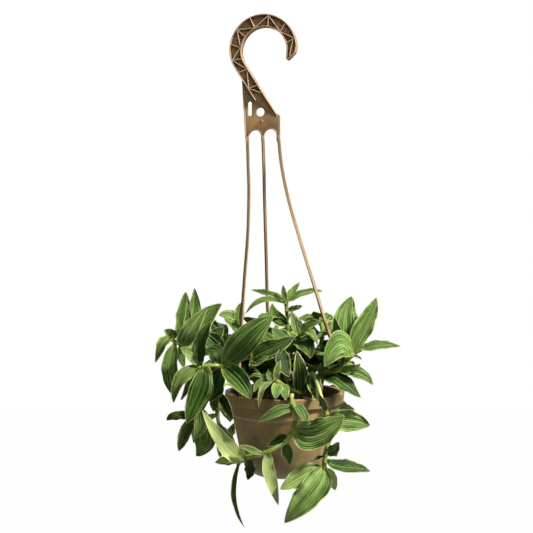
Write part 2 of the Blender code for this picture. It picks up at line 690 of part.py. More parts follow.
def clip_place(angle, radius=CLIP_RADIUS):
    """A point on the rim, with the directions round it and out of it."""
    turn = radians(angle)
    centre = Vector((POT_CENTRE[0] + radius * cos(turn), POT_CENTRE[1] + radius * sin(turn), 0.0))
    return centre, Vector((-sin(turn), cos(turn), 0.0)), Vector((cos(turn), sin(turn), 0.0))


def clip_block(name, angle, size, bottom, top, surface):
    centre, around, outwards = clip_place(angle)
    corners = [
        centre + around * size[0] / 2 * a + outwards * size[1] / 2 * b
        for a, b in ((-1, -1), (1, -1), (1, 1), (-1, 1))
    ]
    sections = [[corner + Vector((0, 0, height)) for corner in corners] for height in (bottom, top)]
    return swept(name, sections, surface)


def make_soil(surface):
    gap = CLEARANCE
    wall = (
        (68.6 - gap, SOIL_TOP), (65.4 - gap, -32.4), (55.4 - gap, -78.6), (50.0 - gap, -92.0),
        (43.6 - gap, -100.6), (36.0 - gap, -104.4), (0.0, -104.4),
    )
    crown = [(radius, SOIL_TOP + SOIL_CROWN * (1 - (radius / 68.2) ** 2)) for radius in (0.0, 36.0)]
    soil = turned("soil", crown + list(wall), (*POT_CENTRE, RIM_Z), SOIL_SEGMENTS, surface)
    cutters = []
    bottom = RIM_Z + SOIL_TOP - ROOT_DEPTH + 2 - CLEARANCE
    for name, branches in STEMS.items():
        radius, route, _ = branches[0]
        cutters.append(upright_cylinder(f"hole_{name}", route[0], radius + 1.0, bottom, RIM_Z, 6, surface))
    combine(soil, cutters, "DIFFERENCE")
    return soil


def arc(centre, radius, start, end, steps):
    """Points on an arc, from one angle to another."""
    return [
        (centre[0] + radius * cos(start + (end - start) * k / steps),
         centre[1] + radius * sin(start + (end - start) * k / steps))
        for k in range(steps + 1)
    ]


def band_point(outer, distance):
    """A point on the outer or inner edge of the hook at a turned angle, or down the shank past it."""
    centre = HOOK_OUTER_CENTRE if outer else HOOK_INNER_CENTRE
    radius = HOOK_OUTER_RADIUS - FLANGE if outer else HOOK_INNER_RADIUS + FLANGE
    angle = min(distance, SHANK_ANGLE)
    x = centre[0] + radius * cos(angle)
    z = centre[1] + radius * sin(angle)
    run = max(0.0, distance - SHANK_ANGLE) * HOOK_OUTER_RADIUS
    return x - sin(SHANK_ANGLE) * run, z + cos(SHANK_ANGLE) * run


def shrunk(polygon, margin):
    """A convex polygon, listed anticlockwise, with every side moved in by the margin."""
    lines = []
    for (x0, z0), (x1, z1) in zip(polygon, polygon[1:] + polygon[:1]):
        length = ((x1 - x0) ** 2 + (z1 - z0) ** 2) ** 0.5
        nx, nz = -(z1 - z0) / length, (x1 - x0) / length
        lines.append((nx, nz, nx * x0 + nz * z0 + margin))
    corners = []
    for (a, b, c), (d, e, f) in zip(lines[-1:] + lines[:-1], lines):
        scale = a * e - b * d
        corners.append(((c * e - b * f) / scale, (a * f - c * d) / scale))
    return corners


def truss_pockets():
    """The pockets between the ribs of the hook, each anticlockwise."""
    stations = [radians(angle) for angle in RIB_STATIONS]
    pockets = []
    for k, (start, end) in enumerate(zip(stations, stations[1:])):
        angles = (start, (start + end) / 2, end) if start < SHANK_ANGLE else (start, end)
        outer = [band_point(True, angle) for angle in angles]
        inner = [band_point(False, angle) for angle in angles]
        if k % 2 == 0:
            pockets.append([outer[0]] + inner[::-1])
            pockets.append(outer + [inner[-1]])
        else:
            pockets.append([outer[-1]] + inner[::-1])
            pockets.append(outer + [inner[0]])
    past_outer = SHANK_ANGLE + (OUTER_SHANK_LENGTH + 6) / HOOK_OUTER_RADIUS
    past_inner = SHANK_ANGLE + (INNER_SHANK_LENGTH + 4) / HOOK_OUTER_RADIUS
    pockets[-1] = [
        band_point(True, stations[-2]), band_point(True, past_outer),
        band_point(False, past_inner), band_point(False, stations[-1]),
    ]
    return pockets


def shank_end(centre, radius, length):
    """The lower end of a straight edge of the shank, which leaves its arc without a corner."""
    return (
        centre[0] + radius * cos(SHANK_ANGLE) - sin(SHANK_ANGLE) * length,
        centre[1] + radius * sin(SHANK_ANGLE) + cos(SHANK_ANGLE) * length,
    )


def foot_wedge(name, side, surface):
    """A wedge that takes the front or the back off the foot of the hook's inner flange."""
    slope = (HOOK_DEPTH / 2 - FOOT_HALF) / FOOT_LENGTH
    top = INNER_SHANK_LENGTH - FOOT_LENGTH - 2
    bottom = INNER_SHANK_LENGTH + 2
    corners = (
        (top, HOOK_DEPTH / 2 + 2 * slope),
        (bottom, FOOT_HALF - 2 * slope),
        (bottom, HOOK_DEPTH),
        (top, HOOK_DEPTH),
    )
    turn = Matrix.Rotation(HOOK_TURN, 3, "Z")
    sections = []
    for beyond in (-1.0, FLANGE + 1.0):
        section = []
        for down, depth in corners:
            x, z = shank_end(HOOK_INNER_CENTRE, HOOK_INNER_RADIUS + beyond, down)
            section.append(turn @ Vector((x, side * depth, z)))
        sections.append(section)
    return swept(name, sections, surface)


def make_hanger(surface):
    outer_end = shank_end(HOOK_OUTER_CENTRE, HOOK_OUTER_RADIUS, OUTER_SHANK_LENGTH)
    inner_end = shank_end(HOOK_INNER_CENTRE, HOOK_INNER_RADIUS, INNER_SHANK_LENGTH)
    inner = arc(HOOK_INNER_CENTRE, HOOK_INNER_RADIUS, 0.0, SHANK_ANGLE, 18)
    outer = arc(HOOK_OUTER_CENTRE, HOOK_OUTER_RADIUS, radians(-1), SHANK_ANGLE, 20)
    outline = outer + [outer_end, inner_end] + inner[::-1] + list(HOOK_POINT)
    half = HOOK_DEPTH / 2
    hanger = extruded("hanger", outline, -half, half, HOOK_TURN, surface)
    shapes = [shrunk(pocket, RIB / 2) for pocket in truss_pockets()] + [list(p) for p in POINT_POCKETS]
    cutters = []
    for number, shape in enumerate(shapes):
        cutters.append(extruded(f"front_pocket_{number}", shape, -half - 1, -WEB / 2, HOOK_TURN, surface))
        cutters.append(extruded(f"back_pocket_{number}", shape, WEB / 2, half + 1, HOOK_TURN, surface))
    cutters += [foot_wedge(f"foot_{side}", side, surface) for side in (-1, 1)]
    combine(hanger, cutters, "DIFFERENCE", "MANIFOLD")
    added = make_plate(surface, inner_end) + [make_arm(place, surface) for place in CLIP_ANGLES]
    combine(hanger, added, "UNION", "MANIFOLD")
    hole = arc(HANG_HOLE_CENTRE, HANG_HOLE_RADIUS, 0, 2 * pi * 19 / 20, 19)
    holes = [
        extruded("slot", rounded_slot(), -CUT_REACH, CUT_REACH, HOOK_TURN, surface),
        extruded("hang_hole", hole, -CUT_REACH, CUT_REACH, HOOK_TURN, surface),
    ]
    combine(hanger, holes, "DIFFERENCE", "MANIFOLD")
    return hanger


def rounded_slot():
    across = SLOT_SIZE[0] / 2
    reach = SLOT_SIZE[1] / 2 - across
    x, z = SLOT_CENTRE
    return arc((x, z + reach), across, 0, pi, 6) + arc((x, z - reach), across, pi, 2 * pi, 6)


def make_plate(surface, shoulder):
    """The flat web of the plate, its legs and the lips along its left edge and round its windows."""
    half = PLATE_THICKNESS / 2
    windows = []
    for x, z in reversed(WINDOW_CENTRES):
        windows += [(x + WINDOW_RADIUS, PLATE_BOTTOM)] + arc((x, z), WINDOW_RADIUS, 0, pi, 10)
        windows += [(x - WINDOW_RADIUS, PLATE_BOTTOM)]
    outline = [
        PLATE_TOP_LEFT, (PLATE_LEFT, PLATE_BOTTOM), *reversed(windows),
        (PLATE_RIGHT, PLATE_BOTTOM), (PLATE_RIGHT, PLATE_SHOULDER), (shoulder[0] - 1, shoulder[1] + 3),
        (-10.0, -86.0),
    ]
    pieces = [extruded("plate", outline, -half, half, HOOK_TURN, surface)]
    lip_half = LIP_DEPTH / 2
    left = [
        PLATE_TOP_LEFT, (PLATE_LEFT, PLATE_BOTTOM), (PLATE_LEFT + LIP_WIDTH, PLATE_BOTTOM),
        (PLATE_TOP_LEFT[0] + LIP_WIDTH, PLATE_TOP_LEFT[1]),
    ]
    pieces.append(extruded("left_lip", left, -lip_half, lip_half, HOOK_TURN, surface))
    for number, centre in enumerate(WINDOW_CENTRES):
        lip = arc(centre, WINDOW_RADIUS + LIP_WIDTH, radians(15), radians(165), 8)
        lip += arc(centre, WINDOW_RADIUS, radians(165), radians(15), 8)
        pieces.append(extruded(f"arch_lip_{number}", lip, -lip_half, lip_half, HOOK_TURN, surface))
    dot = arc(DOT_CENTRE, DOT_RADIUS, 0, 2 * pi * 7 / 8, 7)
    pieces.append(extruded("dot", dot, -half - 0.6, 0, HOOK_TURN, surface))
    return pieces


def make_arm(place, surface):
    """A T-section strap, wide face out, that narrows to a tongue through the ledge and ends in a barb."""
    centre, around, outwards = clip_place(CLIP_ANGLES[place])
    points = list(ARM_ROUTES[place]) + [tuple(centre + Vector((0, 0, RIM_Z + 1.2)))]
    route = smooth_route(points, ARM_STEP)
    start_out = Vector((sin(HOOK_TURN), -cos(HOOK_TURN), 0))
    if place == "back":
        start_out = -start_out
    half = ARM_WIDTH / 2
    rib = ARM_STEM_HALF
    depth = ARM_FLANGE - ARM_DEPTH
    shape = (
        (-half, 0), (-half, ARM_FLANGE), (half, ARM_FLANGE), (half, 0),
        (rib, 0), (rib, depth), (-rib, depth), (-rib, 0),
    )
    sections = []
    for i, (_, point) in enumerate(route):
        ahead = route[min(i + 1, len(route) - 1)][1] - route[max(i - 1, 0)][1]
        along = ahead.normalized() if i < len(route) - 1 else Vector((0, 0, -1))
        blend = i / (len(route) - 1)
        out = start_out * (1 - blend) + outwards * blend
        out = (out - along * out.dot(along)).normalized()
        across = along.cross(out)
        wide, thick = ARM_END_SHARE if i == len(route) - 1 else (1.0, 1.0)
        sections.append([point + across * a * wide + out * (b * thick - 0.4) for a, b in shape])
    arm = swept(f"arm_{place}", sections, surface)
    tongue = clip_block("tongue", CLIP_ANGLES[place], TONGUE, RIM_Z - 6, RIM_Z + 3, surface)
    barb_half = BARB_WIDTH / 2
    outline = ((-barb_half, BARB_TOP), (barb_half, BARB_TOP), (1.0, BARB_BOTTOM), (-1.0, BARB_BOTTOM))
    head = [
        centre + around * a + outwards * b + Vector((0, 0, RIM_Z + height))
        for b in (-TONGUE[1] / 2, TONGUE[1] / 2)
        for a, height in outline
    ]
    barb = swept("barb", [head[:4], head[4:]], surface)
    combine(arm, [tongue, barb], "UNION", "MANIFOLD")
    return arm


def main():
    clear_scene()
    plastic = material("tan_plastic", (0.33, 0.21, 0.12), 0.45)
    earth = material("potting_soil", (0.05, 0.03, 0.02), 0.95)
    foliage = material("striped_leaf", (0.16, 0.30, 0.07), 0.5)
    make_pot(plastic)
    make_soil(earth)
    make_hanger(plastic)
    for name, branches in STEMS.items():
        leafy_stem(name, branches, foliage)


main()
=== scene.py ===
from math import cos, exp, pi, radians, sin
from random import Random

import bmesh
import bpy
import numpy as np
from mathutils import Matrix, Vector, noise


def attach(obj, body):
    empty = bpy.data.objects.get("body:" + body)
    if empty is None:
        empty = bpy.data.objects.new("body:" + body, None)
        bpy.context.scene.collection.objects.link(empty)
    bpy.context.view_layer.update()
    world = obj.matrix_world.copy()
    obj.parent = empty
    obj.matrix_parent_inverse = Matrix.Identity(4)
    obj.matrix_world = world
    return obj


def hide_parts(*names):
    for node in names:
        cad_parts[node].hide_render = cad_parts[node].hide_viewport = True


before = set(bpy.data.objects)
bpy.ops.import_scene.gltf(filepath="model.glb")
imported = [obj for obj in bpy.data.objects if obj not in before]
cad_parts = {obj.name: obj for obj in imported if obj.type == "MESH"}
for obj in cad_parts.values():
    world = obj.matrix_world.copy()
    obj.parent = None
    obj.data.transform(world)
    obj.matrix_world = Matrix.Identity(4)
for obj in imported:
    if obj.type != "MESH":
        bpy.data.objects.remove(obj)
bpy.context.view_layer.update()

MM = 0.001


# The hanging pot: one brown polypropylene moulding. Its rim is an upside-down channel with a short
# skirt, the hanger's three clips push through slots in its ledge, and water leaves by holes in the floor.
POT_CENTRE = (26.0, 0.0)
RIM_Z = -468.0
# Radius, height from the rim and rounding of each corner: down the skirt and up again under the ledge,
# down the wall to the drain in the middle of the floor, and back up inside
POT_PROFILE = (
    (77.5, 0.0, 1.0), (75.9, -13.0, 0.5), (74.3, -13.0, 0.5), (75.7, -2.0, 0.6), (71.8, -2.0, 0.6),
    (69.8, -27.6, 1.2), (67.8, -30.0, 1.2), (57.6, -79.0, 9.0), (55.0, -88.0, 6.0), (50.0, -97.0, 6.0),
    (43.0, -104.0, 5.0), (37.0, -107.0, 4.0), (4.0, -107.0, 0.5), (4.0, -105.0, 0.5), (36.4, -105.0, 4.0),
    (44.0, -101.0, 5.0), (50.6, -92.0, 6.0), (55.8, -78.6, 9.0), (66.0, -31.8, 1.2), (68.2, -27.2, 1.2),
    (70.2, 0.0, 0.6),
)
POT_SEGMENTS = 128
DRAIN_RADIUS = 3.5
DRAIN_SIDES = 24
DRAIN_CIRCLE_RADIUS = 26.0
DRAIN_HOLES = 6
CLIP_RADIUS = 73.25
CLIP_ANGLES = {"right": -18.0, "left": 222.0, "back": 102.0}
CLIP_SLOT = (4.4, 2.9)
# The heights between which the drain holes and the clip slots are cut, counted from the rim
DRAIN_CUT = (-110, -100)
CLIP_CUT = (-3, 1)
# The steps of a rounded corner, and the most of a side that its rounding may take up
CORNER_STEPS = 4
CORNER_SHARE = 0.45
# Faces that meet at more degrees than this keep a hard edge
HARD_EDGE = 40.0
# How far from a wall the painted shade in corners and hollows reaches, in metres
SHADE_REACH = 0.007


def rounded_profile(corners, steps=CORNER_STEPS):
    """The closed profile with each corner (radius, height, rounding) turned into a short curve."""
    rounded = []
    for i, (x, z, rounding) in enumerate(corners):
        corner = Vector((x, z))
        ends = []
        for other in (corners[i - 1], corners[(i + 1) % len(corners)]):
            side = Vector(other[:2]) - corner
            ends.append(corner + side.normalized() * min(rounding, side.length * CORNER_SHARE))
        for k in range(steps + 1):
            t = k / steps
            rounded.append(tuple(ends[0] * (1 - t) ** 2 + corner * 2 * t * (1 - t) + ends[1] * t * t))
    return rounded


def mesh_piece(name, points, faces, finishes, hard=HARD_EDGE):
    """A smooth-shaded piece from points in millimetres, with hard edges where faces meet sharply."""
    mesh = bpy.data.meshes.new(name)
    mesh.from_pydata([(x * MM, y * MM, z * MM) for x, y, z in points], [], faces)
    for finish in finishes:
        mesh.materials.append(finish)
    piece = placed(name, mesh)
    tidy_normals(piece, hard)
    return piece


def placed(name, data):
    """A new object in the scene that shows the mesh, curve, lamp or camera."""
    thing = bpy.data.objects.new(name, data)
    bpy.context.scene.collection.objects.link(thing)
    return thing


def tidy_normals(piece, hard):
    """Faces pointing out, and shaded smooth up to the angle given as hard."""
    bm = bmesh.new()
    bm.from_mesh(piece.data)
    bmesh.ops.recalc_face_normals(bm, faces=bm.faces)
    bm.to_mesh(piece.data)
    bm.free()
    for face in piece.data.polygons:
        face.use_smooth = True
    piece.data.set_sharp_from_angle(angle=radians(hard))


def loop_faces(rows, count, first=0, close=False):
    """Faces between rows of points, each row a closed ring, with caps or with the last row joined on."""
    faces = []
    for i in range(rows if close else rows - 1):
        here = first + i * count
        after = first + ((i + 1) % rows) * count
        for k in range(count):
            n = (k + 1) % count
            faces.append((here + k, here + n, after + n, after + k))
    if not close:
        faces.append(tuple(range(first, first + count)))
        faces.append(tuple(range(first + (rows - 1) * count, first + rows * count)))
    return faces


def turned_piece(name, profile, segments, finishes):
    """A ring-shaped piece turned from a closed profile about the pot's axis."""
    points = []
    for k in range(segments):
        turn = 2 * pi * k / segments
        for radius, height in profile:
            points.append((POT_CENTRE[0] + radius * cos(turn), POT_CENTRE[1] + radius * sin(turn),
                           RIM_Z + height))
    return mesh_piece(name, points, loop_faces(segments, len(profile), close=True), finishes)


def cut(piece, cutters):
    """Cuts the cutters from the piece and removes them."""
    for cutter in cutters:
        modifier = piece.modifiers.new("Cut", "BOOLEAN")
        modifier.operation = "DIFFERENCE"
        modifier.object = cutter
        modifier.solver = "EXACT"
    bpy.context.view_layer.update()
    graph = bpy.context.evaluated_depsgraph_get()
    result = bpy.data.meshes.new_from_object(piece.evaluated_get(graph))
    piece.modifiers.clear()
    piece.data = result
    for cutter in cutters:
        bpy.data.objects.remove(cutter, do_unlink=True)
    tidy_normals(piece, HARD_EDGE)


def rim_block(name, corners, heights):
    """An upright block on the corners, between two heights counted from the rim."""
    points = [(x, y, RIM_Z + height) for height in heights for x, y in corners]
    return mesh_piece(name, points, loop_faces(2, len(corners)), [])


def circle(centre, radius, steps):
    """Points round a circle."""
    turns = [2 * pi * k / steps for k in range(steps)]
    return [(centre[0] + radius * cos(turn), centre[1] + radius * sin(turn)) for turn in turns]


def clip_place(angle):
    """The place of a clip on the rim, with the directions round the rim and out of it."""
    turn = radians(angle)
    centre = Vector((POT_CENTRE[0] + CLIP_RADIUS * cos(turn), POT_CENTRE[1] + CLIP_RADIUS * sin(turn), 0.0))
    return centre, Vector((-sin(turn), cos(turn), 0.0)), Vector((cos(turn), sin(turn), 0.0))


def clip_corners(angle, size):
    """The four corners of a small rectangle on the rim, seen from above."""
    centre, around, outwards = clip_place(angle)
    return [
        (centre + around * size[0] / 2 * a + outwards * size[1] / 2 * b).to_2d()
        for a, b in ((-1, -1), (1, -1), (1, 1), (-1, 1))
    ]


def paint(red, green, blue):
    """A screen colour, 0 to 255 a channel, as the linear colour that shaders use."""
    return (*(((c / 255 + 0.055) / 1.055) ** 2.4 for c in (red, green, blue)), 1.0)


def put(tree, kind, inputs=(), **settings):
    """A shader node with its settings, and its inputs given as values or as other nodes' outputs."""
    node = tree.nodes.new("ShaderNode" + kind)
    for name, value in settings.items():
        setattr(node, name, value)
    for key, value in dict(inputs).items():
        if isinstance(value, bpy.types.NodeSocket):
            tree.links.new(value, node.inputs[key])
        else:
            node.inputs[key].default_value = value
    return node


def reckon(tree, operation, a, b=0.0, c=0.0):
    """A sum on changing values, by the name of Blender's operation."""
    return put(tree, "Math", {0: a, 1: b, 2: c}, operation=operation).outputs[0]


def times(tree, a, b):
    return reckon(tree, "MULTIPLY", a, b)


def plus(tree, a, b):
    return reckon(tree, "ADD", a, b)


def mask(tree, value, low, high):
    """A smooth share that is 0 where the value is low and 1 where it is high."""
    node = put(tree, "MapRange", {"Value": value, "From Min": low, "From Max": high},
               interpolation_type="SMOOTHSTEP")
    return node.outputs["Result"]


def blend(tree, share, first, second):
    """The first colour where the share is 0 and the second where it is 1."""
    return put(tree, "Mix", {0: share, 6: first, 7: second}, data_type="RGBA").outputs[2]


def layer(tree, colour, over, share, weight):
    """The colour with another laid over it, as strongly as the weight where the share is 1."""
    return blend(tree, times(tree, share, weight), colour, over)


def clouds(tree, where, scale, detail=3.0, roughness=0.5):
    """Soft noise from 0 to 1 over the coordinates."""
    inputs = {"Vector": where, "Scale": scale, "Detail": detail, "Roughness": roughness}
    return put(tree, "TexNoise", inputs).outputs["Fac"]


def stretched(tree, where, shares):
    """The coordinates scaled along each axis."""
    return put(tree, "VectorMath", {0: where, 1: shares}, operation="MULTIPLY").outputs[0]


def finish_of(name):
    """A new material, with its node tree and its shader."""
    finish = bpy.data.materials.new(name)
    finish.use_nodes = True
    tree = finish.node_tree
    return finish, tree, tree.nodes["Principled BSDF"]


def dress(tree, shader, colour, roughness, height, depth):
    """Joins a material's changing colour, roughness and bump to its shader."""
    tree.links.new(colour, shader.inputs["Base Color"])
    tree.links.new(roughness, shader.inputs["Roughness"])
    bump = put(tree, "Bump", {"Height": height, "Distance": depth, "Strength": 1.0})
    tree.links.new(bump.outputs["Normal"], shader.inputs["Normal"])


def moulded_surface():
    """Marks on all the moulded plastic and painted shade in its hollows, each 0 to 1 over the surface."""
    group = bpy.data.node_groups.new("moulded_surface", "ShaderNodeTree")
    where = put(group, "TexCoord").outputs["Object"]
    geometry = put(group, "NewGeometry")
    up = put(group, "SeparateXYZ", {0: geometry.outputs["Normal"]}).outputs["Z"]
    patches = clouds(group, where, 38.0, 4.0)
    scratches = clouds(group, stretched(group, where, (60.0, 60.0, 900.0)), 1.0, 2.0)
    runs = clouds(group, stretched(group, where, (150.0, 150.0, 9.0)), 1.0, 3.0)
    # Ambient occlusion drives the painted shade: darker plastic in corners and hollows, in patches
    openness = put(group, "AmbientOcclusion", {"Distance": SHADE_REACH}, samples=64).outputs["AO"]
    marks = {
        "Mottle": clouds(group, where, 17.0, 5.0),
        "Dust": times(group, mask(group, up, 0.25, 0.95), mask(group, patches, 0.35, 0.75)),
        "Scuffs": times(group, mask(group, scratches, 0.62, 0.74), mask(group, patches, 0.5, 0.7)),
        "Streaks": mask(group, runs, 0.52, 0.78),
        "Grain": clouds(group, where, 420.0, 4.0, 0.65),
        "Edges": mask(group, geometry.outputs["Pointiness"], 0.51, 0.58),
        "Painted_Shade": times(group, mask(group, openness, 0.62, 0.12), mask(group, patches, 0.1, 0.5)),
    }
    for name in marks:
        group.interface.new_socket(name, in_out="OUTPUT", socket_type="NodeSocketFloat")
    out = group.nodes.new("NodeGroupOutput")
    for name, value in marks.items():
        group.links.new(value, out.inputs[name])
    return group


surface_marks = moulded_surface()


def plastic_finish(name, deep, bright, dusty, worn, corner_shade, gloss):
    """Satin moulded plastic mottled between two browns, with dust, painted shade in its corners and rubbed
    edges.
    """
    finish, tree, shader = finish_of(name)
    marks = put(tree, "Group", node_tree=surface_marks).outputs
    colour = blend(tree, mask(tree, marks["Mottle"], 0.35, 0.65), deep, bright)
    # The darkest coat is painted shade, laid in corners and hollows
    coats = (
        ("Streaks", dusty, 0.22), ("Dust", dusty, 0.45), ("Painted_Shade", corner_shade, 0.75), ("Scuffs", worn, 0.4),
        ("Edges", worn, 0.5),
    )
    for mark, over, weight in coats:
        colour = layer(tree, colour, over, marks[mark], weight)
    rough = reckon(tree, "MULTIPLY_ADD", marks["Mottle"], 0.16, gloss)
    rough = plus(tree, rough, times(tree, marks["Dust"], 0.25))
    rough = plus(tree, rough, times(tree, marks["Scuffs"], 0.15))
    height = plus(tree, marks["Grain"], times(tree, marks["Scuffs"], -0.8))
    dress(tree, shader, colour, rough, height, 0.00003)
    shader.inputs["Specular IOR Level"].default_value = 0.45
    return finish


pot_finish = plastic_finish(
    "pot_plastic", deep=paint(122, 104, 68), bright=paint(174, 146, 98), dusty=paint(172, 152, 114),
    # The darkest brown is the painted shade in corners and hollows
    worn=paint(190, 162, 116), corner_shade=paint(60, 48, 32), gloss=0.4,
)
pot = turned_piece("hanging_pot", rounded_profile(POT_PROFILE), POT_SEGMENTS, [pot_finish])
drains = circle(POT_CENTRE, DRAIN_CIRCLE_RADIUS, DRAIN_HOLES)
holes = [
    rim_block(f"drain_{number}", circle(centre, DRAIN_RADIUS, DRAIN_SIDES), DRAIN_CUT)
    for number, centre in enumerate(drains)
]
for place, angle in CLIP_ANGLES.items():
    holes.append(rim_block(f"clip_slot_{place}", clip_corners(angle, CLIP_SLOT), CLIP_CUT))
cut(pot, holes)
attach(pot, "root")
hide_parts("pot")


# The potting soil: damp peat and bark that fills the pot to 12 mm under its rim. Its top is lumpy, with
# loose chips of bark and a few white grains of perlite lying on it, and the stems are rooted in it.
SOIL_TOP = -12.0
SOIL_WALL = ((68.2, -13.5), (65.0, -32.4), (55.0, -78.6), (49.6, -92.0), (43.2, -100.6), (35.6, -104.4))
# The soil is higher in the middle by its crown, and lumpy both coarsely and finely
SOIL_CROWN = 3.0
SOIL_SINK = 1.2
SOIL_LUMPS = 1.54
SOIL_CRUMBS = 0.7
SOIL_RINGS = 34
SOIL_FIRST_RING = 0.4
SOIL_LAST_RING = 67.8
SOIL_SEGMENTS = 120
BARK_CHIPS = 420
BARK_SIZE = (0.6, 2.0)
PERLITE_GRAINS = 60
PERLITE_SIZE = (0.5, 1.1)
CHIP_SPREAD = 65.0
SOIL_HARD_EDGE = 60.0
SOIL_SEED = 41


def soil_height(x, y):
    """The lumpy top of the soil, counted from the rim, at a place measured from its middle."""
    share = (x * x + y * y) ** 0.5 / SOIL_WALL[0][0]
    coarse = noise.noise(Vector((x * 0.09, y * 0.09, 3.1)))
    fine = noise.noise(Vector((x * 0.35, y * 0.35, 8.4)))
    smooth = SOIL_TOP + SOIL_CROWN * (1 - share ** 2) - SOIL_SINK
    return smooth + SOIL_LUMPS * coarse + SOIL_CRUMBS * fine


def soil_mesh():
    """The soil's top as rings from the middle out, then its wall down to its floor."""
    rows = []
    for k in range(SOIL_RINGS):
        radius = SOIL_FIRST_RING + (SOIL_LAST_RING - SOIL_FIRST_RING) * k / (SOIL_RINGS - 1)
        rows.append([(x, y, soil_height(x, y)) for x, y in circle((0, 0), radius, SOIL_SEGMENTS)])
    for radius, height in SOIL_WALL:
        rows.append([(x, y, height) for x, y in circle((0, 0), radius, SOIL_SEGMENTS)])
    points = [(POT_CENTRE[0] + x, POT_CENTRE[1] + y, RIM_Z + z) for row in rows for x, y, z in row]
    return points, loop_faces(len(rows), SOIL_SEGMENTS)


def chip(rng, white):
    """One loose chip: a small stretched and dented ball, as points and faces."""
    bm = bmesh.new()
    bmesh.ops.create_icosphere(bm, subdivisions=1, radius=1.0)
    size = rng.uniform(*(PERLITE_SIZE if white else BARK_SIZE))
    stretch = Vector((size, size * rng.uniform(0.6, 1.0), size * rng.uniform(0.45, 0.8)))
    if not white:
        stretch.x *= rng.uniform(1.0, 2.4)
        stretch.z *= 0.6
    turn = Matrix.Rotation(rng.uniform(0, 2 * pi), 3, "Z") @ Matrix.Rotation(rng.uniform(-0.5, 0.5), 3, "X")
    points = []
    for vert in bm.verts:
        dent = 1.0 + rng.uniform(-0.22, 0.22)
        points.append(turn @ Vector(a * b * dent for a, b in zip(vert.co, stretch)))
    faces = [tuple(vert.index for vert in face.verts) for face in bm.faces]
    bm.free()
    return points, faces


def soil_finish():
    """Dark damp peat with browner bark chips and white grains, told apart by the chips' own values."""
    finish, tree, shader = finish_of("potting_mix")
    where = put(tree, "TexCoord").outputs["Object"]
    kind = put(tree, "Attribute", attribute_name="grain_kind").outputs["Fac"]
    damp = clouds(tree, where, 55.0, 4.0)
    crumbs = clouds(tree, where, 650.0, 5.0, 0.7)
    peat = blend(tree, mask(tree, crumbs, 0.35, 0.7), paint(28, 20, 14), paint(66, 48, 34))
    bark = blend(tree, mask(tree, crumbs, 0.3, 0.7), paint(62, 40, 24), paint(112, 78, 48))
    white = blend(tree, mask(tree, crumbs, 0.4, 0.7), paint(170, 164, 150), paint(218, 214, 204))
    colour = blend(tree, mask(tree, kind, 0.2, 0.5), peat, bark)
    colour = blend(tree, mask(tree, kind, 0.7, 0.9), colour, white)
    colour = layer(tree, colour, paint(22, 15, 10), mask(tree, damp, 0.45, 0.65), 0.5)
    rough = reckon(tree, "SUBTRACT", 0.95, times(tree, mask(tree, damp, 0.5, 0.7), 0.3))
    dress(tree, shader, colour, rough, crumbs, 0.0012)
    return finish


points, faces = soil_mesh()
kinds = [0.0] * len(points)
rng = Random(SOIL_SEED)
for number in range(BARK_CHIPS + PERLITE_GRAINS):
    white = number >= BARK_CHIPS
    radius = CHIP_SPREAD * rng.random() ** 0.5
    turn = rng.uniform(0, 2 * pi)
    x, y = radius * cos(turn), radius * sin(turn)
    lift = Vector((POT_CENTRE[0] + x, POT_CENTRE[1] + y, RIM_Z + soil_height(x, y) + rng.uniform(-0.1, 0.5)))
    chip_points, chip_faces = chip(rng, white)
    faces += [tuple(len(points) + i for i in face) for face in chip_faces]
    points += [tuple(point + lift) for point in chip_points]
    kinds += [1.0 if white else rng.uniform(0.3, 0.6)] * len(chip_points)
soil = mesh_piece("potting_soil_fill", points, faces, [soil_finish()], SOIL_HARD_EDGE)
soil.data.attributes.new("grain_kind", "FLOAT", "POINT").data.foreach_set("value", kinds)
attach(soil, "root")
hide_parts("soil")


# The hanger: hook, plate and three arms moulded in one piece of the same plastic. The hook is a band with
# a thin web, flanges along both edges and a zigzag of ribs, and each arm is a T-shaped strap that clips
# through the pot's ledge.
HOOK_TURN = radians(-14.0)
HOOK_DEPTH = 11.5
HOOK_INNER_CENTRE = (0.0, -30.0)
HOOK_INNER_RADIUS = 30.0
HOOK_INNER_STEPS = 56
HOOK_OUTER_CENTRE = (-1.3, -27.8)
HOOK_OUTER_RADIUS = 44.0
HOOK_OUTER_START = radians(-1.0)
HOOK_OUTER_STEPS = 70
SHANK_ANGLE = radians(212.5)
INNER_SHANK_LENGTH = 80.0
OUTER_SHANK_LENGTH = 50.0
FOOT_LENGTH = 32.0
FOOT_HALF = 1.8
FLANGE = 1.3
RIB = 1.2
RIB_INSET = 0.5
WEB = 2.2
# Where the ribs cross the band: turned angles in degrees on the arcs, which run on down the straight shank
RIB_STATIONS = (15.5, 46.5, 80.0, 113.0, 143.5, 171.0, 198.0, 222.5, 254.5, 270.0)
HOOK_POINT = ((29.5, -41.8), (30.4, -43.2), (31.8, -42.8), (36.9, -38.5), (41.1, -33.8))
HOOK_POINT_ROUNDING = 1.6
POINT_RIB = ((38.4, -17.0), (33.6, -38.6))
PLATE_TOP_LEFT = (-29.6, -67.8)
# The corner of the plate that lies hidden inside the hook's web
PLATE_HIDDEN_CORNER = (-10.0, -86.0)
PLATE_BOTTOM = -146.0
PLATE_LEFT = -24.9
PLATE_RIGHT = 20.7
PLATE_SHOULDER = -113.0
PLATE_THICKNESS = 2.4
LIP_DEPTH = 4.6
LIP_WIDTH = 1.4
WINDOW_RADIUS = 8.2
WINDOW_CENTRES = ((-12.5, -139.4), (7.8, -138.4))
SLOT_CENTRE = (-19.3, -103.5)
SLOT_SIZE = (5.2, 18.5)
HANG_HOLE_CENTRE = (-5.4, -108.1)
HANG_HOLE_RADIUS = 5.5
DOT_CENTRE = (-3.0, -120.0)
DOT_RADIUS = 1.4
DOT_THICKNESS = 3.6
ARM_WIDTH = 4.2
ARM_DEPTH = 4.0
ARM_FLANGE = 1.7
ARM_STEM_HALF = 0.8
ARM_INSET = 0.4
ARM_STEP = 6.0
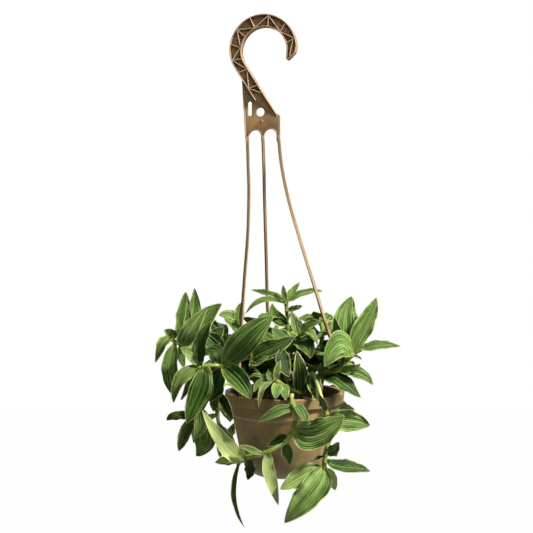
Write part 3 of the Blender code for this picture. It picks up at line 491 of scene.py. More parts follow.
ARM_ROUTES = {
    "left": ((-22.1, 5.5, -138), (-21, 3, -176), (-20, -2, -210), (-21, -12, -262), (-25, -24, -318),
             (-29, -35, -376), (-32, -45, -430), (-32, -51, -452)),
    "back": ((-2.3, 0.6, -138), (-1, 4, -176), (0, 13, -222), (2, 30, -292), (4, 50, -366), (8, 68, -428),
             (10, 76, -452)),
    "right": ((17.8, -4.5, -138), (22, -6, -178), (31, -8, -222), (43, -11, -264), (54, -13, -301),
              (67, -16, -342), (80, -19, -385), (98, -23, -434), (100, -24, -452)),
}
# An arm ends just above the rim. Over the last of its length it turns straight down, narrows and thins.
ARM_END = 1.2
ARM_SETTLE_FROM = 0.96
ARM_NARROWS_BY = 0.2
ARM_THINS_BY = 0.55
TONGUE = (3.2, 1.8)
TONGUE_HEIGHTS = (-6, 3)
BARB_WIDTH = 6.6
BARB_TOP = -2.6
BARB_BOTTOM = -7.5
BARB_POINT_HALF = 1.0


def arc(centre, radius, start, end, steps):
    """Points on an arc, from one angle to another."""
    return [
        (centre[0] + radius * cos(start + (end - start) * k / steps),
         centre[1] + radius * sin(start + (end - start) * k / steps))
        for k in range(steps + 1)
    ]


def in_hook_plane(across, depth, height):
    """A point of the turned plane that the hook and the plate lie in."""
    return (across * cos(HOOK_TURN) - depth * sin(HOOK_TURN),
            across * sin(HOOK_TURN) + depth * cos(HOOK_TURN), height)


def flat_sheet(name, outlines, thickness, rounding, finish):
    """A flat sheet with softly rounded edges in the hook's plane: an outline, and any holes in it."""
    curve = bpy.data.curves.new(name, "CURVE")
    curve.dimensions = "2D"
    curve.fill_mode = "BOTH"
    curve.extrude = (thickness / 2 - rounding) * MM
    curve.bevel_depth = rounding * MM
    curve.bevel_resolution = 2
    curve.offset = -rounding * MM
    for outline in outlines:
        spline = curve.splines.new("POLY")
        spline.points.add(len(outline) - 1)
        for point, (x, z) in zip(spline.points, outline):
            point.co = (x * MM, z * MM, 0.0, 1.0)
        spline.use_cyclic_u = True
    sheet = placed(name, curve)
    bpy.context.view_layer.update()
    mesh = bpy.data.meshes.new_from_object(sheet.evaluated_get(bpy.context.evaluated_depsgraph_get()))
    bpy.data.objects.remove(sheet, do_unlink=True)
    mesh.transform(Matrix.Rotation(HOOK_TURN, 4, "Z") @ Matrix.Rotation(pi / 2, 4, "X"))
    mesh.materials.clear()
    mesh.materials.append(finish)
    piece = placed(name, mesh)
    bm = bmesh.new()
    bm.from_mesh(mesh)
    bmesh.ops.remove_doubles(bm, verts=bm.verts, dist=0.00001)
    bm.to_mesh(mesh)
    bm.free()
    tidy_normals(piece, HARD_EDGE)
    return piece


def soft_rectangle(wide, deep, corner):
    """A rectangle about the origin with rounded corners."""
    outline = []
    for x, y, start in ((1, 1, 0), (-1, 1, 90), (-1, -1, 180), (1, -1, 270)):
        centre = (x * (wide / 2 - corner), y * (deep / 2 - corner))
        outline += arc(centre, corner, radians(start), radians(start + 90), 3)
    return outline


def direction_at(path, i):
    """The way that a path in the hook's plane runs at its point i."""
    before, after = path[max(i - 1, 0)], path[min(i + 1, len(path) - 1)]
    return Vector((after[0] - before[0], after[1] - before[1])).normalized()


def edge_strip(name, path, wide, deep, finish, corner=0.4, foot=1.0):
    """A strip that stands on edge in the hook's plane and follows a path there, such as a flange or rib.

    Its first end has only the share of the depth that is given as foot."""
    section = soft_rectangle(wide, deep, corner)
    points = []
    for i, (x, z) in enumerate(path):
        along = direction_at(path, i)
        share = foot if i == 0 else 1.0
        for side, depth in section:
            points.append(in_hook_plane(x + along.y * side, depth * share, z - along.x * side))
    return mesh_piece(name, points, loop_faces(len(path), len(section)), [finish])


def shank_end(centre, radius, length):
    """The lower end of a straight edge of the shank, which leaves its arc without a corner."""
    return (
        centre[0] + radius * cos(SHANK_ANGLE) - sin(SHANK_ANGLE) * length,
        centre[1] + radius * sin(SHANK_ANGLE) + cos(SHANK_ANGLE) * length,
    )


def band_point(outer, distance):
    """A point on the outer or inner edge of the hook at a turned angle, or down the shank past it."""
    centre = HOOK_OUTER_CENTRE if outer else HOOK_INNER_CENTRE
    radius = HOOK_OUTER_RADIUS - FLANGE if outer else HOOK_INNER_RADIUS + FLANGE
    angle = min(distance, SHANK_ANGLE)
    run = max(0.0, distance - SHANK_ANGLE) * HOOK_OUTER_RADIUS
    return (centre[0] + radius * cos(angle) - sin(SHANK_ANGLE) * run,
            centre[1] + radius * sin(angle) + cos(SHANK_ANGLE) * run)


def inset(path, amount):
    """The path moved to its left by the amount."""
    moved = []
    for i, (x, z) in enumerate(path):
        along = direction_at(path, i)
        moved.append((x - along.y * amount, z + along.x * amount))
    return moved


def hook_parts(finish):
    """The hook's web, the flange that runs right round it and its ribs."""
    outer_end = shank_end(HOOK_OUTER_CENTRE, HOOK_OUTER_RADIUS, OUTER_SHANK_LENGTH)
    inner_end = shank_end(HOOK_INNER_CENTRE, HOOK_INNER_RADIUS, INNER_SHANK_LENGTH)
    outer = arc(HOOK_OUTER_CENTRE, HOOK_OUTER_RADIUS, HOOK_OUTER_START, SHANK_ANGLE, HOOK_OUTER_STEPS)
    inner = arc(HOOK_INNER_CENTRE, HOOK_INNER_RADIUS, SHANK_ANGLE, 0.0, HOOK_INNER_STEPS)
    tip = [(*place, HOOK_POINT_ROUNDING) for place in (inner[-1], *HOOK_POINT, outer[0])]
    ends = CORNER_STEPS + 1
    foot_start = shank_end(HOOK_INNER_CENTRE, HOOK_INNER_RADIUS, INNER_SHANK_LENGTH - FOOT_LENGTH)
    edge = [inner_end, foot_start, *inner[:-1], *rounded_profile(tip)[ends:-ends], *outer[1:], outer_end]
    parts = [
        flat_sheet("hook_web", [edge], WEB, 0.2, finish),
        edge_strip("hook_flange", inset(edge, FLANGE / 2), FLANGE, HOOK_DEPTH, finish,
                   foot=FOOT_HALF / (HOOK_DEPTH / 2)),
    ]
    stations = [radians(angle) for angle in RIB_STATIONS]
    bars = [(band_point(True, angle), band_point(False, angle)) for angle in stations[:-1]]
    for k, (start, end) in enumerate(zip(stations, stations[1:])):
        first, last = (start, end) if k % 2 == 0 else (end, start)
        bars.append((band_point(True, first), band_point(False, last)))
    bars.append(POINT_RIB)
    for number, bar in enumerate(bars):
        parts.append(edge_strip(f"hook_rib_{number}", bar, RIB, HOOK_DEPTH - RIB_INSET, finish, 0.3))
    return parts, inner_end


def plate_parts(finish, shoulder):
    """The plate's web with its slot, hole and windows, the lips along its edges and its moulded dot."""
    windows = []
    for x, z in reversed(WINDOW_CENTRES):
        windows += [(x + WINDOW_RADIUS, PLATE_BOTTOM)] + arc((x, z), WINDOW_RADIUS, 0, pi, 28)
        windows += [(x - WINDOW_RADIUS, PLATE_BOTTOM)]
    outline = [
        PLATE_TOP_LEFT, (PLATE_LEFT, PLATE_BOTTOM), *reversed(windows), (PLATE_RIGHT, PLATE_BOTTOM),
        (PLATE_RIGHT, PLATE_SHOULDER), (shoulder[0] - 1, shoulder[1] + 3), PLATE_HIDDEN_CORNER,
    ]
    half = SLOT_SIZE[0] / 2
    reach = SLOT_SIZE[1] / 2 - half
    x, z = SLOT_CENTRE
    slot = arc((x, z + reach), half, 0, pi, 12) + arc((x, z - reach), half, pi, 2 * pi, 12)
    hole = circle(HANG_HOLE_CENTRE, HANG_HOLE_RADIUS, 40)
    left = [PLATE_TOP_LEFT, (PLATE_LEFT, PLATE_BOTTOM)]
    parts = [
        flat_sheet("plate_web", [outline, slot, hole], PLATE_THICKNESS, 0.35, finish),
        edge_strip("plate_edge", inset(left, LIP_WIDTH / 2), LIP_WIDTH, LIP_DEPTH, finish),
    ]
    for number, centre in enumerate(WINDOW_CENTRES):
        lip = arc(centre, WINDOW_RADIUS + LIP_WIDTH / 2, radians(15), radians(165), 26)
        parts.append(edge_strip(f"window_lip_{number}", lip, LIP_WIDTH, LIP_DEPTH, finish))
    parts.append(flat_sheet("plate_dot", [circle(DOT_CENTRE, DOT_RADIUS, 20)], DOT_THICKNESS, 0.3, finish))
    return parts


def curve_point(a, b, c, d, t):
    """A point between b and c on the smooth curve through the four."""
    linear = (c - a) * 0.5
    square = a - b * 2.5 + c * 2 - d * 0.5
    cube = (b - c) * 1.5 + (d - a) * 0.5
    return b + linear * t + square * t * t + cube * t * t * t


def smooth_route(points, spacing):
    """Points along a smooth curve through the given ones, each with its place counted in points."""
    points = [Vector(point) for point in points]
    padded = [points[0] * 2 - points[1], *points, points[-1] * 2 - points[-2]]
    route = []
    for i in range(len(points) - 1):
        a, b, c, d = padded[i:i + 4]
        steps = max(1, round((c - b).length / spacing))
        route += [(i + k / steps, curve_point(a, b, c, d, k / steps)) for k in range(steps)]
    route.append((len(points) - 1.0, points[-1]))
    return route


def arm_section():
    """A T with softened corners: the wide face outside and a thin stem behind it."""
    half, rib, depth = ARM_WIDTH / 2, ARM_STEM_HALF, ARM_FLANGE - ARM_DEPTH
    corners = (
        (-half, 0, 0.35), (-half, ARM_FLANGE, 0.5), (half, ARM_FLANGE, 0.5), (half, 0, 0.35),
        (rib, 0, 0.25), (rib, depth, 0.35), (-rib, depth, 0.35), (-rib, 0, 0.25),
    )
    return rounded_profile(corners, 2)


def arm_parts(place, finish):
    """A strap along its route, which narrows to a tongue through the ledge and ends in a barb."""
    angle = CLIP_ANGLES[place]
    centre, around, outwards = clip_place(angle)
    route = smooth_route([*ARM_ROUTES[place], tuple(centre + Vector((0, 0, RIM_Z + ARM_END)))], ARM_STEP)
    start_out = Vector((sin(HOOK_TURN), -cos(HOOK_TURN), 0)) * (-1 if place == "back" else 1)
    section = arm_section()
    points = []
    for i, (_, point) in enumerate(route):
        ahead = route[min(i + 1, len(route) - 1)][1] - route[max(i - 1, 0)][1]
        share = i / (len(route) - 1)
        settle = max(0.0, (share - ARM_SETTLE_FROM) / (1 - ARM_SETTLE_FROM))
        along = (ahead.normalized() * (1 - settle) + Vector((0, 0, -1)) * settle).normalized()
        out = start_out * (1 - share) + outwards * share
        out = (out - along * out.dot(along)).normalized()
        across = along.cross(out)
        wide = 1 - ARM_NARROWS_BY * settle
        thick = 1 - ARM_THINS_BY * settle
        points += [tuple(point + across * a * wide + out * (b * thick - ARM_INSET)) for a, b in section]
    arm = mesh_piece(f"arm_{place}", points, loop_faces(len(route), len(section)), [finish])
    tongue = rim_block(f"tongue_{place}", clip_corners(angle, TONGUE), TONGUE_HEIGHTS)
    outline = (
        (-BARB_WIDTH / 2, BARB_TOP), (BARB_WIDTH / 2, BARB_TOP), (BARB_POINT_HALF, BARB_BOTTOM),
        (-BARB_POINT_HALF, BARB_BOTTOM),
    )
    head = [
        tuple(centre + around * a + outwards * b + Vector((0, 0, RIM_Z + height)))
        for b in (-TONGUE[1] / 2, TONGUE[1] / 2)
        for a, height in outline
    ]
    barb = mesh_piece(f"barb_{place}", head, loop_faces(2, len(outline)), [finish])
    return [arm, tongue, barb]


def fused(name, parts, finish):
    """The parts gathered in one piece with one finish."""
    bm = bmesh.new()
    for part in parts:
        bm.from_mesh(part.data)
        bpy.data.objects.remove(part, do_unlink=True)
    mesh = bpy.data.meshes.new(name)
    bm.to_mesh(mesh)
    bm.free()
    mesh.materials.append(finish)
    for face in mesh.polygons:
        face.material_index = 0
    return placed(name, mesh)


hanger_finish = plastic_finish(
    "hanger_plastic", deep=paint(148, 114, 78), bright=paint(168, 134, 96), dusty=paint(180, 160, 130),
    # The darkest brown is the painted shade in corners and hollows
    worn=paint(204, 188, 158), corner_shade=paint(58, 38, 26), gloss=0.34,
)
parts, shoulder = hook_parts(hanger_finish)
parts += plate_parts(hanger_finish, shoulder)
for place in CLIP_ANGLES:
    parts += arm_parts(place, hanger_finish)
hanger = fused("moulded_hanger", parts, hanger_finish)
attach(hanger, "root")
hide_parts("hanger")


# The leafy stems: thick jointed juicy stems, rooted in the soil, that arch over the rim and trail. Each
# leaf is a ribbed lance-shaped blade, striped cream and green lengthwise, whose broad base clasps the stem.
SOIL_STEM_TOP = RIM_Z + SOIL_TOP
# A stem starts this deep under the soil's edge, and its route starts this far above the soil's crown
ROOT_DEPTH = 16.0
ROOT_RISE = 1.0
# The first stem's random seed: each later stem has the next one
STEM_SEED = 71
STEM_SIDES = 14
STEM_STEP = 2.6
STEM_TAPER = 0.2
# A stem is a little thinner than its radius between its joints and swells at them
STEM_WAIST = 0.97
JOINT_SWELLING = 0.13
JOINT_LENGTH = 2.6
# Leaves at one place on a stem start this little apart, counted in route points
BASE_STAGGER = 0.012
SHEATH_LENGTH = 9.0
# Corners of a sleeve: the share of its length past its leaf, and how far it stands proud of the stem
SHEATH_PROFILE = (
    (-1.0, -0.15), (-0.97, 0.12), (-0.6, 0.3), (-0.25, 0.5), (0.02, 0.75), (0.06, 0.6), (0.0, -0.15),
)
# How far a sleeve counts as lying from a margin, which keeps it free of cream lining
SHEATH_EDGE = 6.0
# How pale the stems and sleeves are, as for a leaf
STEM_TONE = 0.7
BLADE_ROWS = 27
BLADE_COLUMNS = 17
NARROW_COLUMNS = 11
NARROW_BLADE = 9.0
BLADE_THICKNESS = 0.62
LEAST_HALF_WIDTH = 0.15
# A blade's random twist and curl across, in radians, and how far it sways, as a share of its length
BLADE_TWIST = 0.16
BLADE_CURL = (0.75, 1.45)
BLADE_SWAY = 0.02
# Its base clasps the stem: over what share of its length, how far each side reaches in stem radii, how
# much more it curls in radians, and how far it stands off the stem
CLASP_SHARE = 0.14
CLASP_WIDTH = 1.9
CLASP_CURL = 2.4
CLASP_GAP = 0.5
# Its margins: how ragged they are, and how deep and how often they wave, in shares of its width and length
RAGGEDNESS = 0.035
WAVE_DEPTH = (0.03, 0.085)
WAVE_BEATS = (1.5, 3.4)
# Its lengthwise pleats and the groove of its midrib, as shares of its width
PLEATS = 4.5
PLEAT_DEPTH = 0.02
MIDRIB_DEPTH = 0.03
MIDRIB_WIDTH = 0.07
# The palest blades have hardly any stripes, and their pleats are this share as deep
PLAIN_TONE = 0.95
PLAIN_PLEATS = 0.2
LEAF_HARD_EDGE = 55.0
# The two skins of a leafy stem, by their place in its list of materials
LEAF_SKIN = 0
STEM_SKIN = 1
DARK_GREEN = paint(10, 46, 5)
LIGHT_GREEN = paint(78, 130, 31)
BLOTCH_GREEN = paint(62, 104, 18)
BASE_GREEN = paint(172, 192, 86)
BACK_GREEN = paint(148, 164, 92)
DULL_CREAM = paint(138, 174, 84)
BRIGHT_CREAM = paint(199, 215, 138)
MIDRIB_CREAM = paint(176, 188, 104)
MARGIN_CREAM = paint(212, 220, 144)
STEM_GREEN = paint(168, 186, 100)
STEM_CREAM = paint(204, 214, 140)
STREAK_GREEN = paint(98, 124, 52)
JOINT_GREEN = paint(110, 118, 58)
FLECK_CREAM = paint(212, 214, 150)

# The way the upper face of a leaf looks, at the middle of the leaf
FRONT = (0, -1, 0.15)
FRONT_UP = (0, -0.8, 0.6)
FRONT_LEFT = (-0.55, -0.8, 0.2)
FRONT_RIGHT = (0.55, -0.8, 0.2)
LEFT_UP = (-0.6, -0.45, 0.65)
RIGHT_UP = (0.6, -0.45, 0.65)
UP = (0, -0.3, 1)
BACK = (0, 1, 0.15)
BACK_UP = (0, 0.7, 0.7)
LEFT_BACK = (-0.6, 0.6, 0.5)
RIGHT_BACK = (0.6, 0.6, 0.5)

# Leaves of the side branches that fill the middle of the plant: how pale each is, counted from the lowest
FILL_TONES = (0.12, 0.3, 0.05, 0.22, 0.4, 0.16)
# Where the first of its leaves starts, in route points, and how much shorter the last one is
FILL_FIRST = 0.8
FILL_SHORTENS_BY = 0.25
# How far out and up such a leaf has its middle and its tip, in shares of its length, and its outward lean
FILL_LEAF_MIDDLE = (0.5, 0.3)
FILL_LEAF_TIP = (0.95, 0.18)
FILL_LEAF_LEAN = 0.4


def filling_branch(radius, route, turns, length, width):
    """A side branch with a leaf for each turn about the upright: each leaf rises, arches over and dips."""
    leaves = []
    for k, turn in enumerate(turns):
        place = FILL_FIRST + (len(route) - 1 - FILL_FIRST) * k / (len(turns) - 1)
        i = min(int(place), len(route) - 2)
        base = Vector(route[i]).lerp(Vector(route[i + 1]), place - i) if i else Vector(route[1])
        out = Vector((cos(radians(turn)), sin(radians(turn)), 0.0))
        reach = length * (1.0 - FILL_SHORTENS_BY * k / len(turns))
        middle = base + out * reach * FILL_LEAF_MIDDLE[0] + Vector((0, 0, reach * FILL_LEAF_MIDDLE[1]))
        tip = base + out * reach * FILL_LEAF_TIP[0] + Vector((0, 0, reach * FILL_LEAF_TIP[1]))
        face = (out.x * FILL_LEAF_LEAN, out.y * FILL_LEAF_LEAN, 1.0)
        leaves.append((place, tuple(middle), tuple(tip), width, face, FILL_TONES[k]))
    return radius, route, leaves


# Each stem: its branches, the main one first. A branch is its radius, its route and its leaves. The main
# route starts at a place on the soil. A side route starts at a place on the main one, counted in points from
# its buried end, so that 1 is at the soil. A leaf is its place on the branch counted in route points, its
# middle, its tip, its width, the way that it faces and how pale it is, from 0 for dark green to 1 for cream
# green.
STEMS = {
    "stem_left_low": [(2.7, (
        (2, -10), (-8, -18, -455), (-28, -29, -440), (-50, -43, -431), (-66, -53, -428), (-82, -60, -429),
    ), (
        (5.0, (-103, -64, -444), (-112, -68, -473), 21, FRONT_LEFT, 0.7),
        (4.9, (-92, -56, -414), (-105, -55, -406), 16, FRONT_UP, 0.65),
        (3.1, (-22, -64, -394), (11, -58, -366), 35, FRONT, 0.34),
        (3.2, (-31, -68, -445), (-17, -80, -466), 26, FRONT, 0.3),
        (4.6, (-82, -68, -464), (-96, -71, -498), 28, FRONT, 0.15),
        (4.3, (-72, -48, -460), (-87, -42, -492), 26, FRONT_LEFT, 0.25),
        (3.3, (-58, -40, -454), (-70, -36, -476), 27, FRONT_LEFT, 0.05),
        (3.5, (-64, -42, -413), (-80, -38, -419), 22, FRONT_UP, 0.15),
        (4.8, (-79, -56, -402), (-65, -50, -372), 24, FRONT_LEFT, 0.1),
        (4.9, (-93, -50, -451), (-104, -46, -473), 10, FRONT, 0.3),
    ))],
    "stem_left_high": [(2.5, (
        (-16, -2), (-26, -6, -448), (-46, -12, -420), (-70, -18, -411), (-93, -26, -411), (-107, -30, -404),
        (-119, -34, -397),
    ), (
        (5.9, (-127, -40, -402), (-137, -44, -426), 18, FRONT_LEFT, 0.55),
        (5.8, (-119, -28, -392), (-127, -30, -386), 16, FRONT_UP, 0.8),
        (4.2, (-80, -18, -379), (-55, -12, -354), 28, FRONT, 0.3),
        (4.4, (-92, -12, -376), (-90, -8, -334), 22, FRONT, 0.45),
        (4.6, (-102, -27, -369), (-100, -24, -338), 21, FRONT, 0.4),
        (4.5, (-97, -38, -380), (-98, -38, -350), 12, FRONT, 0.4),
        (4.9, (-94, -40, -386), (-72, -34, -357), 24, FRONT, 0.55),
        (5.5, (-119, -40, -441), (-111, -42, -470), 21, FRONT, 0.4),
        (5.0, (-105, -36, -420), (-101, -37, -434), 11, FRONT, 0.4),
        (3.2, (-66, -12, -398), (-52, -8, -384), 24, FRONT, 0.12),
        (2.5, (-66, -16, -402), (-82, -12, -388), 24, FRONT, 0.1),
    )), filling_branch(
        1.8, (1.5, (-36, 2, -444), (-46, 3, -437), (-54, -1, -430)), (185, 285, 250), 44, 28,
    )],
    "stem_left_hanging": [(2.4, (
        (-16, 14), (-34, 14, -454), (-58, 6, -448), (-73, -4, -462), (-83, -12, -484), (-88, -18, -500),
    ), (
        (4.9, (-112, -26, -496), (-124, -31, -501), 13, FRONT_UP, 0.5),
        (5.0, (-102, -26, -520), (-109, -28, -541), 17, FRONT, 0.45),
        (4.6, (-77, -12, -527), (-88, -14, -550), 31, FRONT, 0.5),
        (4.3, (-80, -32, -504), (-89, -37, -523), 20, FRONT, 0.4),
        (3.4, (-92, 10, -462), (-110, 12, -482), 22, LEFT_UP, 0.3),
        (2.6, (-72, 24, -440), (-94, 34, -452), 24, LEFT_UP, 0.3),
    ))],
    "stem_left_rim": [(1.8, (
        (-28, -16), (-42, -24, -457), (-54, -31, -459), (-58, -35, -486), (-56, -41, -504),
        (-44, -47, -514),
    ), (
        (2.2, (-62, -26, -476), (-65, -23, -491), 18, FRONT, 0.1),
        (2.4, (-47, -52, -480), (-39, -58, -495), 15, FRONT_LEFT, 0.08),
        (5.0, (-41, -57, -509), (-38, -60, -499), 11, FRONT, 0.4),
        (4.6, (-54, -47, -529), (-56, -46, -545), 13, FRONT, 0.2),
    ))],
    "stem_left_upright": [(2.0, (
        (-8, 22), (-18, 25, -430), (-28, 23, -396), (-36, 20, -381),
    ), (
        (3.0, (-46, 18, -372), (-60, 14, -371), 18, FRONT_UP, 0.6),
        (2.9, (-33, 22, -368), (-31, 25, -355), 14, FRONT, 0.6),
        (1.5, (-46, 30, -410), (-68, 32, -398), 29, LEFT_UP, 0.2),
        (2.0, (-10, 30, -392), (9, 32, -380), 25, FRONT_UP, 0.3),
        (2.4, (-40, 4, -384), (-52, -2, -374), 20, FRONT_UP, 0.4),
        (1.15, (-28, 28, -441), (-50, 30, -434), 28, FRONT, 0.08),
    )), filling_branch(
        2.0, (1.4, (-30, 22, -438), (-46, 18, -414), (-58, 14, -392)),
        (150, 205, 100, 185, 125, 160), 58, 32,
    )],
    "stem_middle": [(2.5, (
        (30, 6), (31, 8, -430), (30, 10, -391), (29, 12, -368), (28, 12, -352),
    ), (
        (4.0, (7, 14, -343), (-18, 18, -338), 10, FRONT_UP, 0.6),
        (3.7, (1, -3, -349), (-25, -10, -368), 10, FRONT_UP, 0.4),
        (4.0, (36, 16, -341), (46, 20, -328), 11, FRONT, 0.6),
        (4.0, (25, 9, -341), (24, 8, -331), 7, FRONT, 0.6),
        (3.9, (52, 8, -341), (76, 6, -339), 11, FRONT_UP, 0.6),
        (3.3, (41, 3, -361), (49, 0, -357), 10, FRONT_UP, 0.55),
        (2.4, (15, -5, -371), (10, -8, -354), 18, FRONT, 0.4),
        (2.8, (3, -14, -369), (-8, -18, -371), 10, FRONT_UP, 0.5),
        (1.4, (8, 0, -400), (-11, -5, -390), 28, FRONT_UP, 0.12),
        (1.7, (50, 14, -398), (67, 10, -390), 26, FRONT_UP, 0.2),
    )), (2.5, (
        1.1, (38, -10, -452), (41, -18, -436), (41, -20, -413), (43, -22, -394),
    ), (
        (4.0, (39, -22, -378), (34, -20, -363), 12, FRONT, 0.65),
        (3.9, (57, -28, -380), (71, -34, -376), 14, FRONT_UP, 0.6),
        (3.8, (56, -38, -388), (67, -44, -404), 14, UP, 0.55),
        (3.95, (45, -18, -383), (45, -17, -374), 8, FRONT, 0.65),
        (3.6, (51, -38, -404), (58, -46, -420), 25, FRONT_UP, 0.1),
        (3.0, (22, -26, -398), (10, -28, -384), 25, FRONT_UP, 0.3),
    )), (2.3, (
        1.1, (14, -20, -456), (-2, -34, -446), (-12, -37, -434), (-17, -38, -424),
    ), (
        (4.0, (7, -42, -409), (39, -38, -393), 24, FRONT, 0.05),
        (3.7, (-6, -46, -423), (5, -48, -417), 14, FRONT_UP, 0.5),
        (1.8, (10, -50, -444), (18, -60, -452), 18, FRONT_UP, 0.15),
    )), (2.3, (
        1.2, (28, -20, -454), (24, -34, -436), (22, -38, -420), (21, -41, -409),
    ), (
        (3.95, (24, -52, -426), (31, -60, -442), 19, FRONT, 0.0),
        (2.2, (4, -30, -440), (-6, -34, -452), 26, FRONT_UP, 0.1),
    )), filling_branch(
        2.0, (1.3, (16, 4, -446), (4, 6, -432), (-2, 4, -412)), (225, 187, 285, 173, 215), 51, 32,
    ), filling_branch(
        2.0, (1.3, (42, 4, -446), (54, 0, -430), (58, 0, -408)), (300, 345, 275, 10), 55, 32,
    ), filling_branch(
        1.8, (1.2, (46, 14, -458), (62, 2, -446), (70, -4, -430)), (250, 300, 275), 45, 30,
    ), filling_branch(
        1.8, (1.15, (26, -14, -460), (14, -44, -458), (8, -52, -452)), (205, 150, 180), 38, 22,
    ), filling_branch(
        1.8, (1.3, (24, 28, -450), (30, 28, -438), (33, 25, -424)), (298, 262, 318), 37, 30,
    )],
    "stem_right_back": [(2.7, (
        (62, 18), (68, 24, -430), (76, 25, -400), (75, 26, -382),
    ), (
        (3.0, (61, 25, -377), (44, 23, -376), 16, FRONT_UP, 0.5),
        (2.9, (68, 18, -372), (76, 10, -371), 15, FRONT_UP, 0.5),
        (2.4, (98, 28, -388), (121, 30, -384), 27, RIGHT_UP, 0.3),
        (2.7, (84, 44, -380), (92, 58, -376), 24, RIGHT_UP, 0.35),
        (1.6, (96, 38, -418), (122, 46, -424), 28, RIGHT_UP, 0.2),
        (2.0, (64, 44, -392), (58, 58, -380), 24, BACK_UP, 0.3),
        (1.35, (58, 32, -424), (48, 34, -402), 28, FRONT, 0.05),
        (1.4, (84, 34, -424), (94, 38, -400), 28, FRONT, 0.1),
        (1.15, (86, 30, -440), (106, 32, -440), 28, FRONT, 0.15),
    )), filling_branch(
        2.0, (1.3, (76, 14, -448), (88, 10, -430), (94, 9, -412)), (20, 75, 345, 110, 40, 5), 50, 27,
    )],
    "stem_front_arch": [(2.3, (
        (46, -40), (44, -52, -464), (36, -57, -459), (28, -61, -454), (13, -66, -445),
    ), (
        (4.0, (-2, -72, -455), (-7, -81, -477), 9, UP, 0.85),
        (3.7, (15, -76, -455), (14, -81, -466), 14, FRONT, 0.6),
        (3.2, (25, -72, -458), (27, -81, -468), 13, FRONT, 0.6),
        (4.0, (16, -66, -432), (20, -62, -421), 9, FRONT, 0.6),
        (3.9, (7, -66, -441), (5, -64, -432), 8, FRONT, 0.6),
        (3.8, (-3, -66, -448), (-13, -72, -459), 11, FRONT_UP, 0.6),
        (1.0, (45, -57, -440), (40, -50, -410), 20, FRONT, 0.05),
    ))],
    "stem_front_trailing": [(2.8, (
        (34, -46), (34, -56, -472), (34, -70, -463), (33, -84, -465), (36, -91, -480), (37, -92, -492),
        (33, -92, -505), (25, -92, -517), (13, -92, -524), (-3, -90, -532), (-20, -86, -536),
        (-30, -82, -541),
    ), (
        (3.8, (14, -94, -480), (-8, -93, -492), 14, FRONT_LEFT, 0.4),
        (3.5, (46, -96, -481), (52, -99, -497), 15, FRONT_RIGHT, 0.3),
        (5.6, (64, -107, -503), (96, -106, -482), 38, FRONT, 0.5),
        (6.6, (18, -86, -516), (3, -85, -523), 15, FRONT_UP, 0.08),
        (7.0, (28, -89, -531), (31, -86, -545), 15, FRONT, 0.2),
        (8.6, (7, -94, -558), (17, -95, -593), 16, FRONT, 0.97),
        (10.2, (-44, -90, -524), (-76, -84, -479), 22, FRONT, 0.97),
        (11.0, (-37, -86, -585), (-24, -86, -623), 8, FRONT_LEFT, 0.3),
        (10.9, (-46, -79, -542), (-61, -76, -545), 14, FRONT_UP, 0.4),
        (10.0, (-17, -80, -552), (-21, -78, -566), 18, FRONT_LEFT, 0.08),
        (9.0, (-17, -97, -525), (-30, -98, -519), 9, FRONT_UP, 0.5),
    ))],
    "stem_right_trailing": [(2.8, (
        (58, -34), (58, -44, -446), (60, -60, -438), (65, -76, -450), (70, -86, -466), (75, -90, -481),
        (77, -92, -516), (74, -92, -531), (72, -92, -549),
    ), (
        (2.2, (61, -70, -449), (66, -80, -469), 20, FRONT, 0.15),
        (4.8, (71, -96, -469), (66, -99, -457), 12, FRONT_LEFT, 0.3),
        (5.2, (103, -92, -491), (128, -90, -497), 28, FRONT, 0.55),
        (6.8, (82, -97, -525), (90, -99, -515), 18, FRONT_RIGHT, 0.2),
        (7.2, (64, -91, -537), (56, -89, -540), 9, UP, 0.4),
        (7.6, (102, -92, -547), (129, -90, -553), 18, FRONT_UP, 0.12),
        (8.0, (43, -98, -558), (19, -103, -572), 25, FRONT, 0.9),
        (8.0, (54, -108, -576), (24, -106, -612), 35, FRONT, 0.66),
        (8.0, (82, -88, -563), (86, -86, -577), 14, FRONT, 1.0),
    ))],
    "stem_right": [(2.7, (
        (70, -22), (73, -36, -450), (79, -50, -438), (91, -56, -434), (98, -58, -427), (106, -60, -417),
        (119, -62, -407),
    ), (
        (6.0, (140, -66, -402), (168, -68, -403), 14, FRONT_UP, 0.5),
        (5.2, (124, -56, -377), (140, -46, -344), 25, FRONT, 0.5),
        (4.2, (101, -47, -380), (110, -36, -343), 36, FRONT, 0.5),
        (4.0, (93, -57, -393), (87, -58, -368), 15, FRONT_LEFT, 0.5),
        (5.1, (92, -76, -401), (73, -84, -426), 36, FRONT, 0.55),
        (2.2, (73, -62, -430), (66, -68, -437), 14, FRONT_UP, 0.6),
        (3.0, (115, -64, -436), (134, -66, -451), 17, FRONT_UP, 0.35),
        (3.5, (108, -66, -431), (118, -68, -424), 11, FRONT_RIGHT, 0.7),
        (1.6, (92, -62, -444), (119, -70, -466), 27, FRONT_UP, 0.1),
    ))],
    "stem_back_left": [(2.6, (
        (-6, 40), (-22, 56, -452), (-40, 74, -446), (-56, 84, -462), (-64, 88, -486), (-66, 88, -512),
        (-62, 86, -534),
    ), (
        (1.6, (-46, 54, -430), (-68, 58, -428), 25, LEFT_UP, 0.3),
        (2.0, (-22, 88, -432), (-24, 112, -438), 27, BACK_UP, 0.4),
        (3.2, (-84, 76, -466), (-104, 74, -486), 27, LEFT_BACK, 0.5),
        (4.2, (-54, 104, -504), (-48, 110, -528), 27, BACK, 0.7),
        (5.2, (-88, 84, -528), (-98, 82, -552), 25, LEFT_BACK, 0.3),
        (6.0, (-52, 94, -556), (-44, 92, -582), 23, BACK, 0.5),
    ))],
    "stem_back_middle": [(2.6, (
        (30, 46), (32, 62, -450), (34, 82, -452), (36, 92, -470), (35, 95, -494), (32, 95, -518),
    ), (
